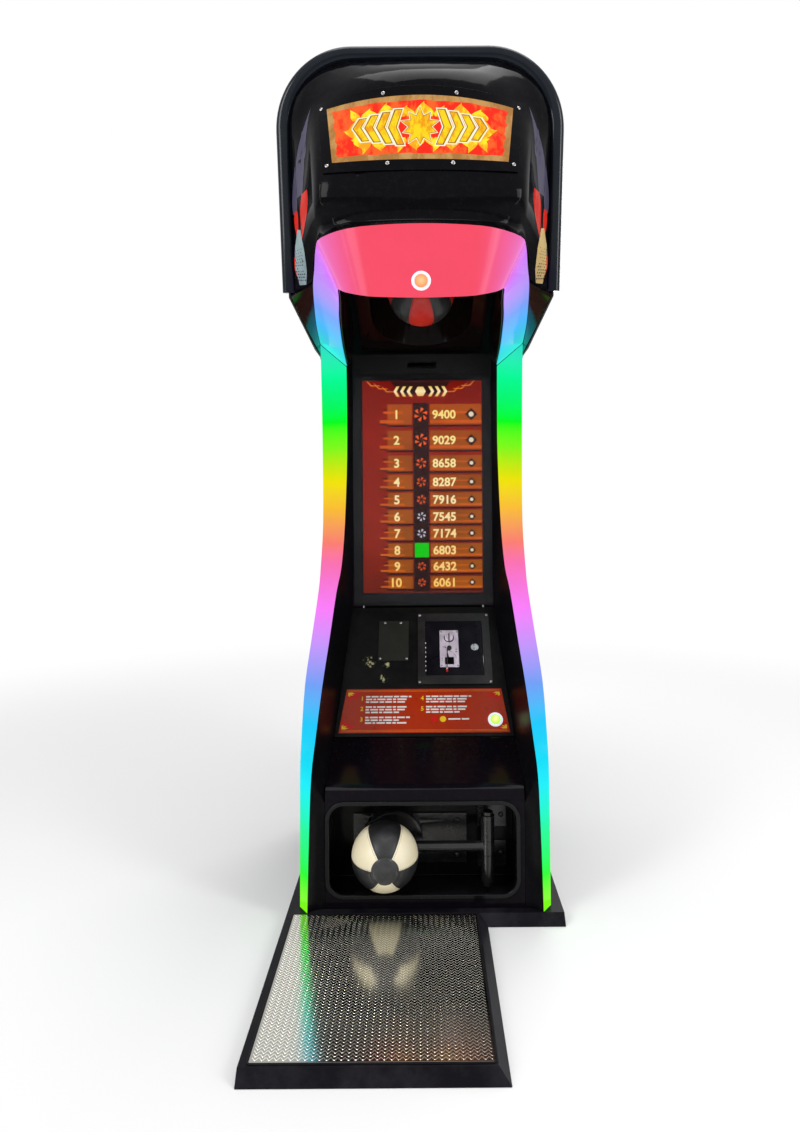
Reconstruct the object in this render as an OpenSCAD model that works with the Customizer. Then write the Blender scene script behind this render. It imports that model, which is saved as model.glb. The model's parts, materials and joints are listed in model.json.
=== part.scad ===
// Boxing and kicking arcade machine, free standing.
// Millimetres, +Z up, the player stands at -Y. The origin is on the floor,
// on the centre line, under the front edge of the base.

/* [Base] */
// Width of the base across the cabinet
base_w = 730; // [700:1:780]
// Height of the base and of the platform
base_h = 26; // [20:1:34]
// Depth of the base from its front edge
base_d = 724; // [722:1:760]
// Bevel on the free front and right edges
bevel = 24; // [10:1:30]
// Width of the platform's top
platform_w = 504; // [460:1:540]
// Length of the platform in front of the base
platform_len = 564; // [520:1:640]
// Width of the rubber border round the tread plate
border_w = 5; // [3:0.5:5.5]
// Thickness of the tread plate and its border
tread_t = 2; // [1.5:0.5:3]

/* [Cabinet] */
// Outer width at the foot
foot_w = 670; // [650:1:690]
// Outer width at the neck under the hood
neck_w = 648; // [640:1:660]
// Height of the neck where the hood begins
neck_h = 1568; // [1560:1:1580]
// Rear face of the side panels
back_y = 700; // [690:1:710]
// Thickness of the side panels
side_t = 15; // [12:0.5:18]
// How far the light strips slope back from inner to outer edge
chamfer_d = 35; // [25:1:40]
// Thickness of moulded skins
skin_t = 4; // [3:0.5:5]
// Thickness of the light diffusers
diffuser_t = 3; // [2:0.5:4]
// Front panel set back from the base's front edge
panel_y = 24; // [20:1:30]
// Half width of the front panel
panel_hw = 266; // [260:0.5:268]

/* [Tray] */
// Height of the tray's lower edge
tray_z = 414; // [410:1:418]
// Depth of the tray's lower edge
tray_y = 247; // [243:1:251]
// Slope of the tray from level
tray_tilt = 48.2; // [47:0.1:49]
// Length of the tray up its slope
tray_len = 457; // [450:1:458]
// Half width of the tray at its top edge
tray_top_hw = 235; // [232:0.5:236]
// Thickness of sheet metal panels
sheet_t = 3; // [2:0.5:4]

/* [Coin door] */
// Centre of the coin door across the tray
door_x = 97; // [90:1:99]
// Centre of the coin door up the tray
door_v = 299; // [290:1:305]
// Width of the door leaf
door_w = 180; // [170:1:186]
// Height of the door leaf
door_h = 194; // [184:1:200]
// Width of the flange round the door leaf
door_flange = 24; // [20:1:26]
// Running gap round the door leaf
door_gap = 1.5; // [1:0.5:2.5]
// Radius of the door's hinge pin
door_pin_r = 2; // [1.5:0.1:2.3]

/* [Screen] */
// Width of the lit screen
screen_w = 398; // [380:1:410]
// Height of the lit screen
screen_h = 708; // [690:1:720]
// Height of the lit screen's lower edge
screen_z = 799; // [792:1:806]
// Plane of the screen's surround
screen_y = 576; // [572:1:580]

/* [Hood] */
// Outer width of the hood shell
hood_w = 690; // [680:1:696]
// Height of the top of the hood shell
hood_top = 2209; // [2195:1:2216]
// Corner radius of the hood shell
hood_r = 176; // [160:1:184]
// Wall of the hood shell
hood_t = 5; // [4:0.5:6]
// How far the edge trim stands out of the hood shell
trim_out = 15; // [10:1:18]
// Depth of the edge trim from front to back
trim_d = 58; // [40:1:70]
// Height of the trim's lower ends
trim_low = 1649; // [1640:1:1655]
// Depth of the trim's lower ends
trim_y = -30; // [-34:1:-26]
// Forward lean of the trim's plane
trim_lean = 11.7; // [10:0.1:13]

/* [Punch target] */
// Depth of the punch pivot
punch_y = -30; // [-36:1:-24]
// Height of the punch pivot
punch_z = 1800; // [1792:1:1806]
// Radius of the punch ball
punch_r = 100; // [90:1:106]
// Length from pivot to ball centre
punch_len = 332; // [320:1:340]
// Droop of the stowed arm below level
punch_droop = 12; // [8:0.5:16]
// Radius of the pivot shafts
shaft_r = 12; // [10:0.5:14]
// Radial running clearance of shafts in bearings
run_gap = 0.05; // [0.02:0.01:0.08]
// Inner radius of the ball's well
well_r = 155; // [145:1:158]

/* [Kick target] */
// Centre of the kick recess across the cabinet
recess_x = -6; // [-12:1:0]
// Width of the recess opening
recess_w = 497; // [480:1:505]
// Height of the recess opening
recess_h = 237; // [225:1:245]
// Height of the recess opening's lower edge
recess_z = 63; // [58:1:68]
// Corner radius of the recess opening
recess_r = 40; // [20:1:60]
// Place of the hinge post across the cabinet
post_x = 172; // [165:1:180]
// Depth of the hinge post
post_y = 92; // [86:1:98]
// Radius of the kick ball
kick_r = 90; // [86:1:92]
// Distance from the post to the ball's centre
kick_reach = 280; // [270:1:284]
// Height of the ball's centre
kick_z = 156; // [155.5:0.5:160]
// Depth of the ball's centre
kick_y = 45; // [40:1:48]
// Height of the kick arm
arm_z = 162; // [160:1:164]

/* [Buttons] */
// Outer radius of the start buttons' white rings
button_r = 22.5; // [20:0.5:25]
// Travel of the start buttons
button_travel = 4; // [2:0.5:5]

/* [Hidden] */
$fn = 48;
gap = 0.3;
through = 2;

// Catmull-Rom blend of four neighbours, for points, rows or plain numbers.
function blend4(a, b, c, d, t) =
  0.5 * (2 * b + (c - a) * t + (2 * a - 5 * b + 4 * c - d) * t * t
    + (3 * b - a - 3 * c + d) * t * t * t);
function refine(list, n) =
  let (last = len(list) - 1)
  [for (i = [0:last - 1]) for (k = [0:n - 1])
    blend4(list[max(i - 1, 0)], list[i], list[i + 1], list[min(i + 2, last)], k / n),
   list[last]];
function shifted(list, v) = [for (p = list) p + v];
function shifted_grid(grid, v) = [for (row = grid) shifted(row, v)];
function mirrored(row) = [for (i = [len(row) - 1:-1:1]) [-row[i].x, row[i].y, row[i].z]];

// A thick skin between two grids of points with the same rows and columns.
// The front grid is seen with its rows going up and its columns to the right.
module skin(front, back) {
  m = len(front);
  n = len(front[0]);
  points = [for (row = front) each row, for (row = back) each row];
  function f(i, j) = i * n + j;
  function b(i, j) = m * n + i * n + j;
  faces = [
    for (i = [0:m - 2]) for (j = [0:n - 2]) each [
      [f(i, j), f(i + 1, j), f(i + 1, j + 1)],
      [f(i, j), f(i + 1, j + 1), f(i, j + 1)],
      [b(i, j), b(i + 1, j + 1), b(i + 1, j)],
      [b(i, j), b(i, j + 1), b(i + 1, j + 1)]],
    for (j = [0:n - 2]) each [
      [f(0, j), f(0, j + 1), b(0, j + 1)],
      [f(0, j), b(0, j + 1), b(0, j)],
      [f(m - 1, j + 1), f(m - 1, j), b(m - 1, j)],
      [f(m - 1, j + 1), b(m - 1, j), b(m - 1, j + 1)]],
    for (i = [0:m - 2]) each [
      [f(i + 1, 0), f(i, 0), b(i, 0)],
      [f(i + 1, 0), b(i, 0), b(i + 1, 0)],
      [f(i, n - 1), f(i + 1, n - 1), b(i + 1, n - 1)],
      [f(i, n - 1), b(i + 1, n - 1), b(i, n - 1)]]];
  polyhedron(points = points, faces = faces, convexity = 8);
}

// A block lying on its back lower left corner, given by two opposite corners.
module box(low, high) {
  translate(low)
    cube(high - low);
}

module rounded_rect(w, h, r) {
  difference() {
    square([w, h], center = true);
    for (sx = [-1, 1])
      for (sy = [-1, 1])
        translate([sx * w / 2, sy * h / 2])
          difference() {
            square(2 * r, center = true);
            translate([-sx * r, -sy * r])
              circle(r);
          }
  }
}

// Rounded plate in the XZ plane, from y to y + t, centred on x and z.
module plate_xz(w, h, r, t) {
  translate([0, t, 0])
    rotate([90, 0, 0])
      linear_extrude(t)
        rounded_rect(w, h, r);
}

// Domed screw head with a hexagon socket, standing on z = 0.
module screw_head(r = 4, h = 2.4) {
  difference() {
    union() {
      cylinder(r = r, h = h * 0.5);
      translate([0, 0, h * 0.5])
        cylinder(r1 = r, r2 = r * 0.6, h = h * 0.5);
    }
    translate([0, 0, h * 0.4])
      cylinder(r = r * 0.4, h = h, $fn = 6);
  }
}

// Side outline, from foot to neck: heights, depths and widths of the light strip.
strip_z = [base_h + gap, 250, 385, 476, 602, 698, 826, 900, 1036, 1253, 1440, neck_h + 39];
strip_inner_z = [base_h + gap, 250, 385, 476, 602, 698, 826, 900, 1036, 1253, 1412, 1531];
strip_y = [36, 36, 37, 62, 128, 250, 415, 470, 530, 520, 493, 460];
strip_w = [24, 29, 34, 42, 52, 56, 60, 70, 75, 83, 85, 86];
strip_last = len(strip_z) - 1;
smooth_n = 3;
strip_back = [0, diffuser_t, 0];
lean_rate = (foot_w - neck_w) / 2 / (neck_h - base_h);
function side_x(z) = foot_w / 2 - (z - base_h) * lean_rate;

strip_outer = refine([for (i = [0:strip_last])
  [side_x(strip_z[i]), strip_y[i], strip_z[i]]], smooth_n);
strip_inner = refine([for (i = [0:strip_last])
  [side_x(strip_z[i]) - strip_w[i], strip_y[i] - chamfer_d, strip_inner_z[i]]], smooth_n);

// Back edge of each flank, where it meets the front moulding, tray and screen.
brow_slope = 19;
brow_r = 45;
brow_corner_z = tray_z - (tray_y - panel_y) * tan(brow_slope);
brow_tangent = brow_r * tan((90 - brow_slope) / 2);
tray_top_y = tray_y + tray_len * cos(tray_tilt);
tray_top_z = tray_z + tray_len * sin(tray_tilt);
function on_tray_edge(v) = [panel_hw - (panel_hw - tray_top_hw) * v / tray_len,
  tray_y + v * cos(tray_tilt), tray_z + v * sin(tray_tilt)];
screen_hw = tray_top_hw - 3;
flank_back = [
  [panel_hw, panel_y, base_h + gap],
  [panel_hw, panel_y, 200],
  [panel_hw, panel_y, brow_corner_z - brow_tangent],
  [panel_hw, panel_y + brow_r, brow_corner_z + brow_r * tan(brow_slope)],
  on_tray_edge(0),
  on_tray_edge(tray_len * 0.42),
  on_tray_edge(tray_len * 0.78),
  on_tray_edge(tray_len),
  [screen_hw, screen_y, tray_top_z + 120],
  [screen_hw, screen_y, 1253],
  [screen_hw, screen_y, 1440],
  [screen_hw, screen_y, neck_h + 28]];
function straight(list, n) = [
  for (i = [0:len(list) - 2]) for (k = [0:n - 1])
    list[i] + (list[i + 1] - list[i]) * k / n,
  list[len(list) - 1]];
flank_front_edge = shifted(strip_inner, [0, diffuser_t + gap, 0]);
flank_back_edge = straight(flank_back, smooth_n);
flank_middle = [for (i = [0:len(flank_back_edge) - 1])
  let (p = (flank_front_edge[i] + flank_back_edge[i]) / 2 + [1.5, 4, -2])
  [p.x, p.y, max(p.z, base_h + gap)]];
// Thicker where the strip in front is steep, so the flank is never a knife edge.
flank_behind = [
  [for (i = [0:len(strip_inner) - 1]) flank_front_edge[i] + [skin_t,
    skin_t * max(1, chamfer_d / (strip_outer[i].x - strip_inner[i].x)), 0]],
  shifted(flank_middle, [skin_t, skin_t, 0]),
  shifted(flank_back_edge, [skin_t, skin_t, 0])];

module mirror_left() {
  mirror([1, 0, 0])
    children();
}

// A wedge that planes a 45 degree bevel along +X, below the front top edge at y.
module front_bevel_cut(y, x0, x1) {
  translate([x0, 0, 0])
    rotate([90, 0, 90])
      linear_extrude(x1 - x0)
        polygon([[y - bevel, 0], [y, base_h], [y, base_h + through],
          [y - bevel - through, base_h + through], [y - bevel - through, -through],
          [y - bevel, -through]]);
}

module right_bevel_cut(x, y0, y1) {
  translate([0, y1, 0])
    rotate([90, 0, 0])
      linear_extrude(y1 - y0)
        polygon([[x + bevel, 0], [x, base_h], [x, base_h + through],
          [x + bevel + through, base_h + through], [x + bevel + through, -through],
          [x + bevel, -through]]);
}

platform_x1 = -base_w / 2 + platform_w;

module base_frame() {
  color("#1b1b1d")
    union() {
      difference() {
        box([-base_w / 2, -bevel, 0], [base_w / 2, base_d, base_h]);
        front_bevel_cut(0, -base_w, base_w);
      }
      difference() {
        box([-base_w / 2, -bevel, 0], [platform_x1 + bevel, 1, base_h]);
        right_bevel_cut(platform_x1, -bevel - through, through);
      }
    }
}

module platform_frame() {
  color("#1b1b1d")
    difference() {
      box([-base_w / 2, -platform_len - bevel, 0], [platform_x1 + bevel, -bevel - gap, base_h]);
      front_bevel_cut(-platform_len, -base_w, base_w);
      right_bevel_cut(platform_x1, -platform_len * 2, 0);
    }
}

plate_x0 = -base_w / 2 + 20;
plate_x1 = platform_x1 - border_w - 0.5;
plate_y0 = -platform_len + 9;
plate_y1 = -6;
plate_r = 4;

module plate_outline(grow) {
  translate([(plate_x0 + plate_x1) / 2, (plate_y0 + plate_y1) / 2])
    rounded_rect(plate_x1 - plate_x0 + 2 * grow, plate_y1 - plate_y0 + 2 * grow, plate_r + grow);
}

module tread_plate() {
  color("#c9ccd0")
    translate([0, 0, base_h])
      linear_extrude(tread_t)
        plate_outline(0);
}

module tread_border() {
  color("#101012")
    translate([0, 0, base_h])
      linear_extrude(tread_t)
        difference() {
          plate_outline(border_w);
          plate_outline(gap);
        }
}

side_outline = concat(
  [for (p = strip_outer) if (p.z < neck_h) [p.y + diffuser_t + gap, p.z]],
  [[strip_y[strip_last] + diffuser_t + 12, neck_h], [back_y, neck_h], [back_y, base_h + gap]]);

module side_panel_right() {
  color("#141417")
    translate([foot_w / 2, 0, base_h])
      rotate([0, -atan(lean_rate), 0])
        translate([-side_t, 0, -base_h])
          rotate([90, 0, 90])
            linear_extrude(side_t)
              polygon(side_outline);
}

module side_panel_left() {
  mirror_left()
    side_panel_right();
}

module flank_right() {
  color("#09090b")
    skin([flank_front_edge, flank_middle, flank_back_edge], flank_behind);
}

module flank_left() {
  mirror_left()
    flank_right();
}

module light_strip_right() {
  color("#7fe0c8")
    skin([strip_outer, strip_inner],
      shifted_grid([strip_outer, strip_inner], strip_back));
}

module light_strip_left() {
  mirror_left()
    light_strip_right();
}

// Flexible lamp tape on the inner face of each side panel, behind its diffuser.
led_w = 8;
led_t = 1.5;
module led_strips() {
  tape_outer = shifted(strip_outer, [-side_t - gap, 14, 0]);
  color("#f4f4f0")
    for (side = [0, 1])
      mirror([side, 0, 0])
        skin([shifted(tape_outer, [-led_t, 0, 0]), shifted(tape_outer, [-led_t, led_w, 0])],
          [tape_outer, shifted(tape_outer, [0, led_w, 0])]);
}

// Square steel rails from side panel to side panel.
rail_s = 30;
rail_places = [[640, base_h + gap + 40], [640, 640], [640, 1200], [640, 1480], [330, 330]];
module cabinet_rails() {
  color("#3b3d40")
    for (place = rail_places)
      difference() {
        rail_hw = side_x(place.y + rail_s) - side_t - gap;
        box([-rail_hw, place.x, place.y], [rail_hw, place.x + rail_s, place.y + rail_s]);
        box([-rail_hw - through, place.x + 2, place.y + 2],
          [rail_hw + through, place.x + rail_s - 2, place.y + rail_s - 2]);
      }
}

rear_t = 12;
rear_hw = neck_w / 2 - 4;
service_w = 420;
service_z0 = 420;
service_z1 = 1180;
service_gap = 2;
vent_n = 7;

// Rows of cooling slots, cut through along Y.
module vent_slots(z0, count) {
  for (i = [0:count - 1])
    translate([0, back_y - through, z0 + i * 16])
      plate_xz(160, 6, 2.9, rear_t + 40);
}

inlet_x = -180;
inlet_z = 140;
inlet_w = 48;
inlet_h = 60;

module rear_panel() {
  color("#17171a")
    difference() {
      box([-rear_hw, back_y + gap, base_h + gap], [rear_hw, back_y + rear_t, neck_h]);
      translate([0, back_y - through, (service_z0 + service_z1) / 2])
        plate_xz(service_w, service_z1 - service_z0, 6, rear_t + 2 * through);
      vent_slots(1300, vent_n);
      translate([inlet_x, back_y - through, inlet_z])
        plate_xz(inlet_w + 2 * gap, inlet_h + 2 * gap, 3, rear_t + 2 * through);
    }
}

// Service door, hung on its left edge as seen from behind the machine.
hinge_x = service_w / 2 + 8;
hinge_y = back_y + rear_t + 7;
hinge_r = 5;
hinge_zs = [service_z0 + 100, service_z1 - 100];
hinge_len = 60;
lock_x = -service_w / 2 + 32;
lock_z = (service_z0 + service_z1) / 2;
lock_r = 9;
door_t = 10;

module rear_door() {
  color("#1d1d20")
    difference() {
      union() {
        translate([0, back_y + rear_t - door_t, lock_z])
          plate_xz(service_w - 2 * service_gap, service_z1 - service_z0 - 2 * service_gap, 5, door_t);
        for (z = hinge_zs) {
          box([hinge_x - 38, back_y + rear_t, z - hinge_len / 2],
            [hinge_x - 2, back_y + rear_t + 3, z - gap]);
          box([hinge_x - 8, back_y + rear_t, z - hinge_len / 2],
            [hinge_x, hinge_y, z - gap]);
          translate([hinge_x, hinge_y, z - hinge_len / 2])
            cylinder(r = hinge_r, h = hinge_len / 2 - gap);
        }
      }
      for (z = hinge_zs)
        translate([hinge_x, hinge_y, z - hinge_len / 2 - through])
          cylinder(r = 2.5 + run_gap, h = hinge_len);
      translate([lock_x, back_y - through, lock_z])
        rotate([-90, 0, 0])
          cylinder(r = lock_r + run_gap, h = rear_t + 2 * through);
      for (i = [0:vent_n - 1])
        translate([0, back_y - through, service_z0 + 90 + i * 16])
          plate_xz(160, 6, 2.9, rear_t + 2 * through);
    }
}

module rear_door_hinge() {
  color("#8b8d90")
    for (z = hinge_zs) {
      box([hinge_x + 2, back_y + rear_t + gap / 3, z + gap],
        [hinge_x + 38, back_y + rear_t + 3, z + hinge_len / 2]);
      box([hinge_x, back_y + rear_t + gap / 3, z + gap],
        [hinge_x + 8, hinge_y, z + hinge_len / 2]);
      translate([hinge_x, hinge_y, z + gap])
        cylinder(r = hinge_r, h = hinge_len / 2 - gap);
      translate([hinge_x, hinge_y, z - hinge_len / 2])
        cylinder(r = 2.5, h = hinge_len - gap);
    }
}

// Lock barrel with a cam that swings behind the panel's edge.
module cam_lock(barrel_h, cam_len, flange_r) {
  union() {
    difference() {
      cylinder(r = flange_r, h = 2.5);
      translate([-0.8, -3.5, 1])
        cube([1.6, 7, 3]);
    }
    translate([0, 0, -barrel_h])
      cylinder(r = lock_r, h = barrel_h + 1);
    translate([-6, -cam_len, -barrel_h - 2])
      cube([12, cam_len + 6, 2.5]);
  }
}

module rear_door_lock() {
  color("#b9bbbf")
    translate([lock_x, back_y + rear_t + gap, lock_z])
      rotate([-90, 0, 0])
        cam_lock(rear_t + 6, 40, lock_r + 3);
}

module power_inlet() {
  color("#0d0d0f")
    translate([inlet_x, 0, inlet_z])
      difference() {
        union() {
          translate([0, back_y + rear_t + gap / 3, 0])
            plate_xz(inlet_w + 16, inlet_h + 16, 4, 2.5);
          translate([0, back_y - 25, 0])
            plate_xz(inlet_w, inlet_h, 2.5, rear_t + 26);
        }
        translate([0, back_y + rear_t - 16, -12])
          plate_xz(28, 20, 3, 30);
      }
}

// Front moulding: upright face with the kick opening and the brow over it.
module moulding_profile(inset) {
  r = brow_r - inset;
  centre_y = panel_y + brow_r;
  centre_z = brow_corner_z - brow_tangent;
  brow_end = tray_y - 1 + (inset > 0 ? through : 0);
  arc = [for (a = [180:-7.1:90 + brow_slope]) [centre_y + r * cos(a), centre_z + r * sin(a)]];
  polygon(concat(
    [[panel_y + inset, base_h + gap - inset]],
    arc,
    [[brow_end, tray_z - (tray_y - brow_end) * tan(brow_slope) - inset / cos(brow_slope)],
     [brow_end, base_h + gap - inset]]));
}

recess_mid_z = recess_z + recess_h / 2;

module recess_opening(grow, y, t) {
  translate([recess_x, y, recess_mid_z])
    plate_xz(recess_w + 2 * grow, recess_h + 2 * grow, recess_r + grow, t);
}

module front_moulding() {
  color("#0c0a10")
    difference() {
      translate([-panel_hw + 0.5, 0, 0])
        rotate([90, 0, 90])
          linear_extrude(2 * panel_hw - 1)
            difference() {
              moulding_profile(0);
              moulding_profile(skin_t);
            }
      recess_opening(0, panel_y - through, skin_t + 2 * through);
    }
}

tub_wall = 4;
tub_side = 7;
tub_back_y = 185;
tub_floor_z = 38;
tub_top_z = recess_z + recess_h + 2;
tub_x0 = recess_x - recess_w / 2 - tub_side;
tub_x1 = recess_x + recess_w / 2 + tub_side;
tub_front_y = panel_y + skin_t + gap;

module recess_tub() {
  color("#121214")
    difference() {
      box([tub_x0 - tub_wall, tub_front_y, tub_floor_z - tub_wall],
        [tub_x1 + tub_wall, tub_back_y + tub_wall, tub_top_z + tub_wall]);
      box([tub_x0, tub_front_y - through, tub_floor_z],
        [tub_x1, tub_back_y, tub_top_z]);
    }
}

lip_out = 11;
module recess_lip() {
  color("#15151a")
    difference() {
      recess_opening(lip_out, panel_y - 5, 5 - gap / 3);
      recess_opening(0, panel_y - 5 - through, 5 + 2 * through);
    }
}

// Places its children on the tray: x across, y up the slope, z out of it.
module on_tray() {
  translate([0, tray_y, tray_z])
    rotate([tray_tilt, 0, 0])
      children();
}

frame_w = door_w + 2 * door_gap + 2 * door_flange;
frame_h = door_h + 2 * door_gap + 2 * (door_flange + 6);
collar_t = 2;
collar_d = 8;
kick_button_x = 212;
kick_button_v = 52.4;
button_body_r = 18;
plate_v0 = 13;
plate_v1 = 156;
plate_t = 1.2;
function tray_hw(v) = panel_hw - (panel_hw - tray_top_hw) * v / tray_len;

module tray_panel() {
  color("#17171a")
    on_tray()
      difference() {
        translate([0, 0, -sheet_t])
          linear_extrude(sheet_t)
            polygon([[-tray_hw(2) + 1, 2], [tray_hw(2) - 1, 2],
              [tray_hw(tray_len - 2) - 1, tray_len - 2],
              [-tray_hw(tray_len - 2) + 1, tray_len - 2]]);
        translate([door_x, door_v, 0])
          cube([door_w + 2 * (door_gap + collar_t + gap),
            door_h + 2 * (door_gap + collar_t + gap), 4 * sheet_t], center = true);
        translate([kick_button_x, kick_button_v, -through - sheet_t])
          cylinder(r = button_body_r + gap, h = sheet_t + 2 * through);
      }
}

module instruction_plate() {
  color("#a32a08")
    on_tray()
      difference() {
        translate([0, 0, gap / 3])
          linear_extrude(plate_t)
            polygon([[-tray_hw(plate_v0) + 12, plate_v0], [tray_hw(plate_v0) - 12, plate_v0],
              [tray_hw(plate_v1) - 19, plate_v1], [-tray_hw(plate_v1) + 19, plate_v1]]);
        translate([kick_button_x, kick_button_v, -through])
          cylinder(r = button_body_r + gap, h = 3 * through);
      }
}

// Round start button: z = 0 is the panel's face, the lens stands proud of it.
button_lens_r = 15;
button_bore_z = -button_travel - 3;
button_body_h = 26;
module button_housing(panel_t) {
  difference() {
    union() {
      translate([0, 0, gap])
        cylinder(r = button_r, h = 4);
      translate([0, 0, -button_body_h])
        cylinder(r = button_body_r, h = button_body_h + 2 * gap);
    }
    translate([0, 0, button_bore_z])
      cylinder(r = button_lens_r + gap, h = button_body_h);
    translate([0, 0, 6 - button_body_h])
      cylinder(r = 5 + gap, h = button_body_h);
  }
  difference() {
    translate([0, 0, -panel_t - gap - 5])
      cylinder(r = button_body_r + 6, h = 5);
    translate([0, 0, -panel_t - gap - 5 - through])
      cylinder(r = button_body_r + gap / 3, h = 5 + 2 * through);
  }
}

module button_plunger() {
  translate([0, 0, button_bore_z + button_travel + gap])
    cylinder(r = button_lens_r, h = 10);
  translate([0, 0, 6 - button_body_h + button_travel + 1])
    cylinder(r = 5, h = button_body_h - button_travel - 8);
}

module kick_button_housing() {
  color("#eeeef0")
    on_tray()
      translate([kick_button_x, kick_button_v, plate_t])
        button_housing(sheet_t + plate_t);
}

module kick_button() {
  color("#c8f03a")
    on_tray()
      translate([kick_button_x, kick_button_v, plate_t])
        button_plunger();
}

cover_x = -96;
cover_v = 328;
cover_w = 96;
cover_h = 147;
module cover_plate() {
  color("#1c1c20")
    on_tray()
      translate([cover_x, cover_v, gap / 3])
        linear_extrude(1.5)
          rounded_rect(cover_w, cover_h, 2);
}

// Fixed frame of the coin door, with the hinge pin pressed in its collar.
frame_t = 4;
pin_inset = 4.5;
pin_z = 1.2;
pin_x = door_x - door_w / 2 + pin_inset;

module coin_door_frame() {
  color("#242428")
    on_tray() {
      difference() {
        union() {
          translate([door_x, door_v, gap])
            linear_extrude(frame_t)
              rounded_rect(frame_w, frame_h, 3);
          translate([door_x, door_v, gap - collar_d])
            linear_extrude(collar_d + 1)
              square([door_w + 2 * (door_gap + collar_t), door_h + 2 * (door_gap + collar_t)],
                center = true);
        }
        translate([door_x, door_v, 0])
          cube([door_w + 2 * door_gap, door_h + 2 * door_gap, 60], center = true);
      }
      translate([pin_x, door_v + door_h / 2 + door_gap + 1, pin_z])
        rotate([90, 0, 0])
          cylinder(r = door_pin_r, h = door_h + 2 * door_gap + 2);
    }
}

selector_x = 81;
selector_v = 294;
selector_w = 60;
selector_h = 134;
door_lock_x = 162;
door_lock_v = 298.4;
leaf_z = 1.3;
leaf_t = 3;

module coin_door() {
  color("#141416")
    on_tray()
      difference() {
        union() {
          box([door_x - door_w / 2, door_v - door_h / 2, leaf_z],
            [door_x + door_w / 2, door_v + door_h / 2, leaf_z + leaf_t]);
          box([door_x - door_w / 2, door_v - door_h / 2, pin_z - 3.2],
            [door_x - door_w / 2 + 2 * pin_inset, door_v + door_h / 2, leaf_z + 1]);
          difference() {
            box([door_x - door_w / 2 + 14, door_v - door_h / 2 + 5, leaf_z - 10],
              [door_x + door_w / 2 - 6, door_v + door_h / 2 - 5, leaf_z + 1]);
            box([door_x - door_w / 2 + 16, door_v - door_h / 2 + 7, leaf_z - 11],
              [door_x + door_w / 2 - 8, door_v + door_h / 2 - 7, leaf_z]);
          }
        }
        translate([pin_x, door_v, pin_z])
          rotate([90, 0, 0])
            cylinder(r = door_pin_r + run_gap, h = door_h + 10, center = true);
        translate([selector_x, selector_v, 0])
          cube([selector_w - 6, selector_h - 6, 30], center = true);
        translate([door_lock_x, door_lock_v, 0])
          cylinder(r = lock_r + run_gap, h = 30, center = true);
      }
}

// Face plate with its slot, return opening and mechanism box behind.
slot_v = 38;
module coin_selector() {
  color("#b9b2bd")
    on_tray()
      translate([selector_x, selector_v, leaf_z + leaf_t + gap / 3])
        difference() {
          union() {
            linear_extrude(3)
              rounded_rect(selector_w, selector_h, 3);
            translate([0, 0, -34])
              linear_extrude(35)
                square([selector_w - 8, selector_h - 8], center = true);
            translate([0, slot_v, 3])
              cylinder(r = 13, h = 4);
          }
          translate([-1.6, slot_v - 16, -20])
            cube([3.2, 32, 40]);
          translate([-14, -selector_h / 2 + 10, -22])
            cube([28, 26, 40]);
          translate([0, 0, -20])
            cylinder(r = 7 + gap, h = 40);
        }
}

lever_travel = 4;
module coin_return_lever() {
  color("#2a2a2e")
    on_tray()
      translate([selector_x, selector_v, leaf_z + leaf_t + gap / 3]) {
        translate([0, 0, -8])
          cylinder(r = 7, h = 8 + 3 + lever_travel + 2);
        translate([-5, -3, 3 + lever_travel + 1])
          cube([3, 6, 4]);
        translate([-6, 0, 3 + lever_travel + 4])
          rotate([88, 0, -2])
            cylinder(r = 1.4, h = 84);
        translate([-8.9, -88, 3 + lever_travel + 4.6])
          rotate([-90, 0, 0])
            cylinder(r = 3, h = 10);
      }
}

module coin_door_lock() {
  color("#c3c4c8")
    on_tray()
      translate([door_lock_x, door_lock_v, leaf_z + leaf_t + gap])
        cam_lock(leaf_t + 14, 28, lock_r + 3);
}

// Cash box on the cabinet floor behind the kick recess.
box_w = 260;
box_d = 220;
box_h = 150;
box_y = 280;
module cash_box() {
  color("#6d7074")
    translate([60 - box_w / 2, box_y, base_h + gap]) {
      difference() {
        cube([box_w, box_d, box_h]);
        translate([2, 2, 2])
          cube([box_w - 4, box_d - 4, box_h]);
      }
      translate([box_w / 2 - 45, -14, box_h - 50])
        difference() {
          cube([90, 14, 12]);
          translate([10, 6, -through])
            cube([70, 8 + through, 12 + 2 * through]);
        }
    }
}

tray_screw_places = [
  for (sx = [-1, 1]) for (sv = [-1, 1])
    [door_x + sx * (frame_w / 2 - 6), door_v + sv * (frame_h / 2 - 7), gap + frame_t],
  [cover_x - 29, cover_v + 66, 1.6], [cover_x + 22, cover_v + 66, 1.6],
  [cover_x - 42, cover_v - 66, 1.6], [cover_x + 42, cover_v - 66, 1.6]];
surround_z0 = tray_top_z + 2;
surround_z1 = neck_h + 28;
screen_top = screen_z + screen_h;
sensor_z = (screen_top + surround_z1) / 2 + 8;
glass_z0 = surround_z0 + 8;
glass_z1 = screen_top + 26;
panel_rim = 14;
panel_d = 38;
module screen_surround() {
  color("#0b0b0d")
    difference() {
      box([-screen_hw + 0.6, screen_y, surround_z0], [screen_hw - 0.6, screen_y + sheet_t, surround_z1]);
      box([-screen_w / 2 - 4, screen_y - through, screen_z - 4],
        [screen_w / 2 + 4, screen_y + sheet_t + through, screen_top + 4]);
      translate([0, screen_y - through, sensor_z])
        plate_xz(92, 20, 4, sheet_t + 2 * through);
    }
}

// Cover glass with the small dark sensor window above it.
module screen_glass() {
  color("#101418")
    union() {
      box([-screen_hw + 1.5, screen_y - 4 - gap, glass_z0], [screen_hw - 1.5, screen_y - gap, glass_z1]);
      translate([0, screen_y - 2 - gap, sensor_z])
        plate_xz(100, 26, 5, 2);
    }
}

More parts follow.
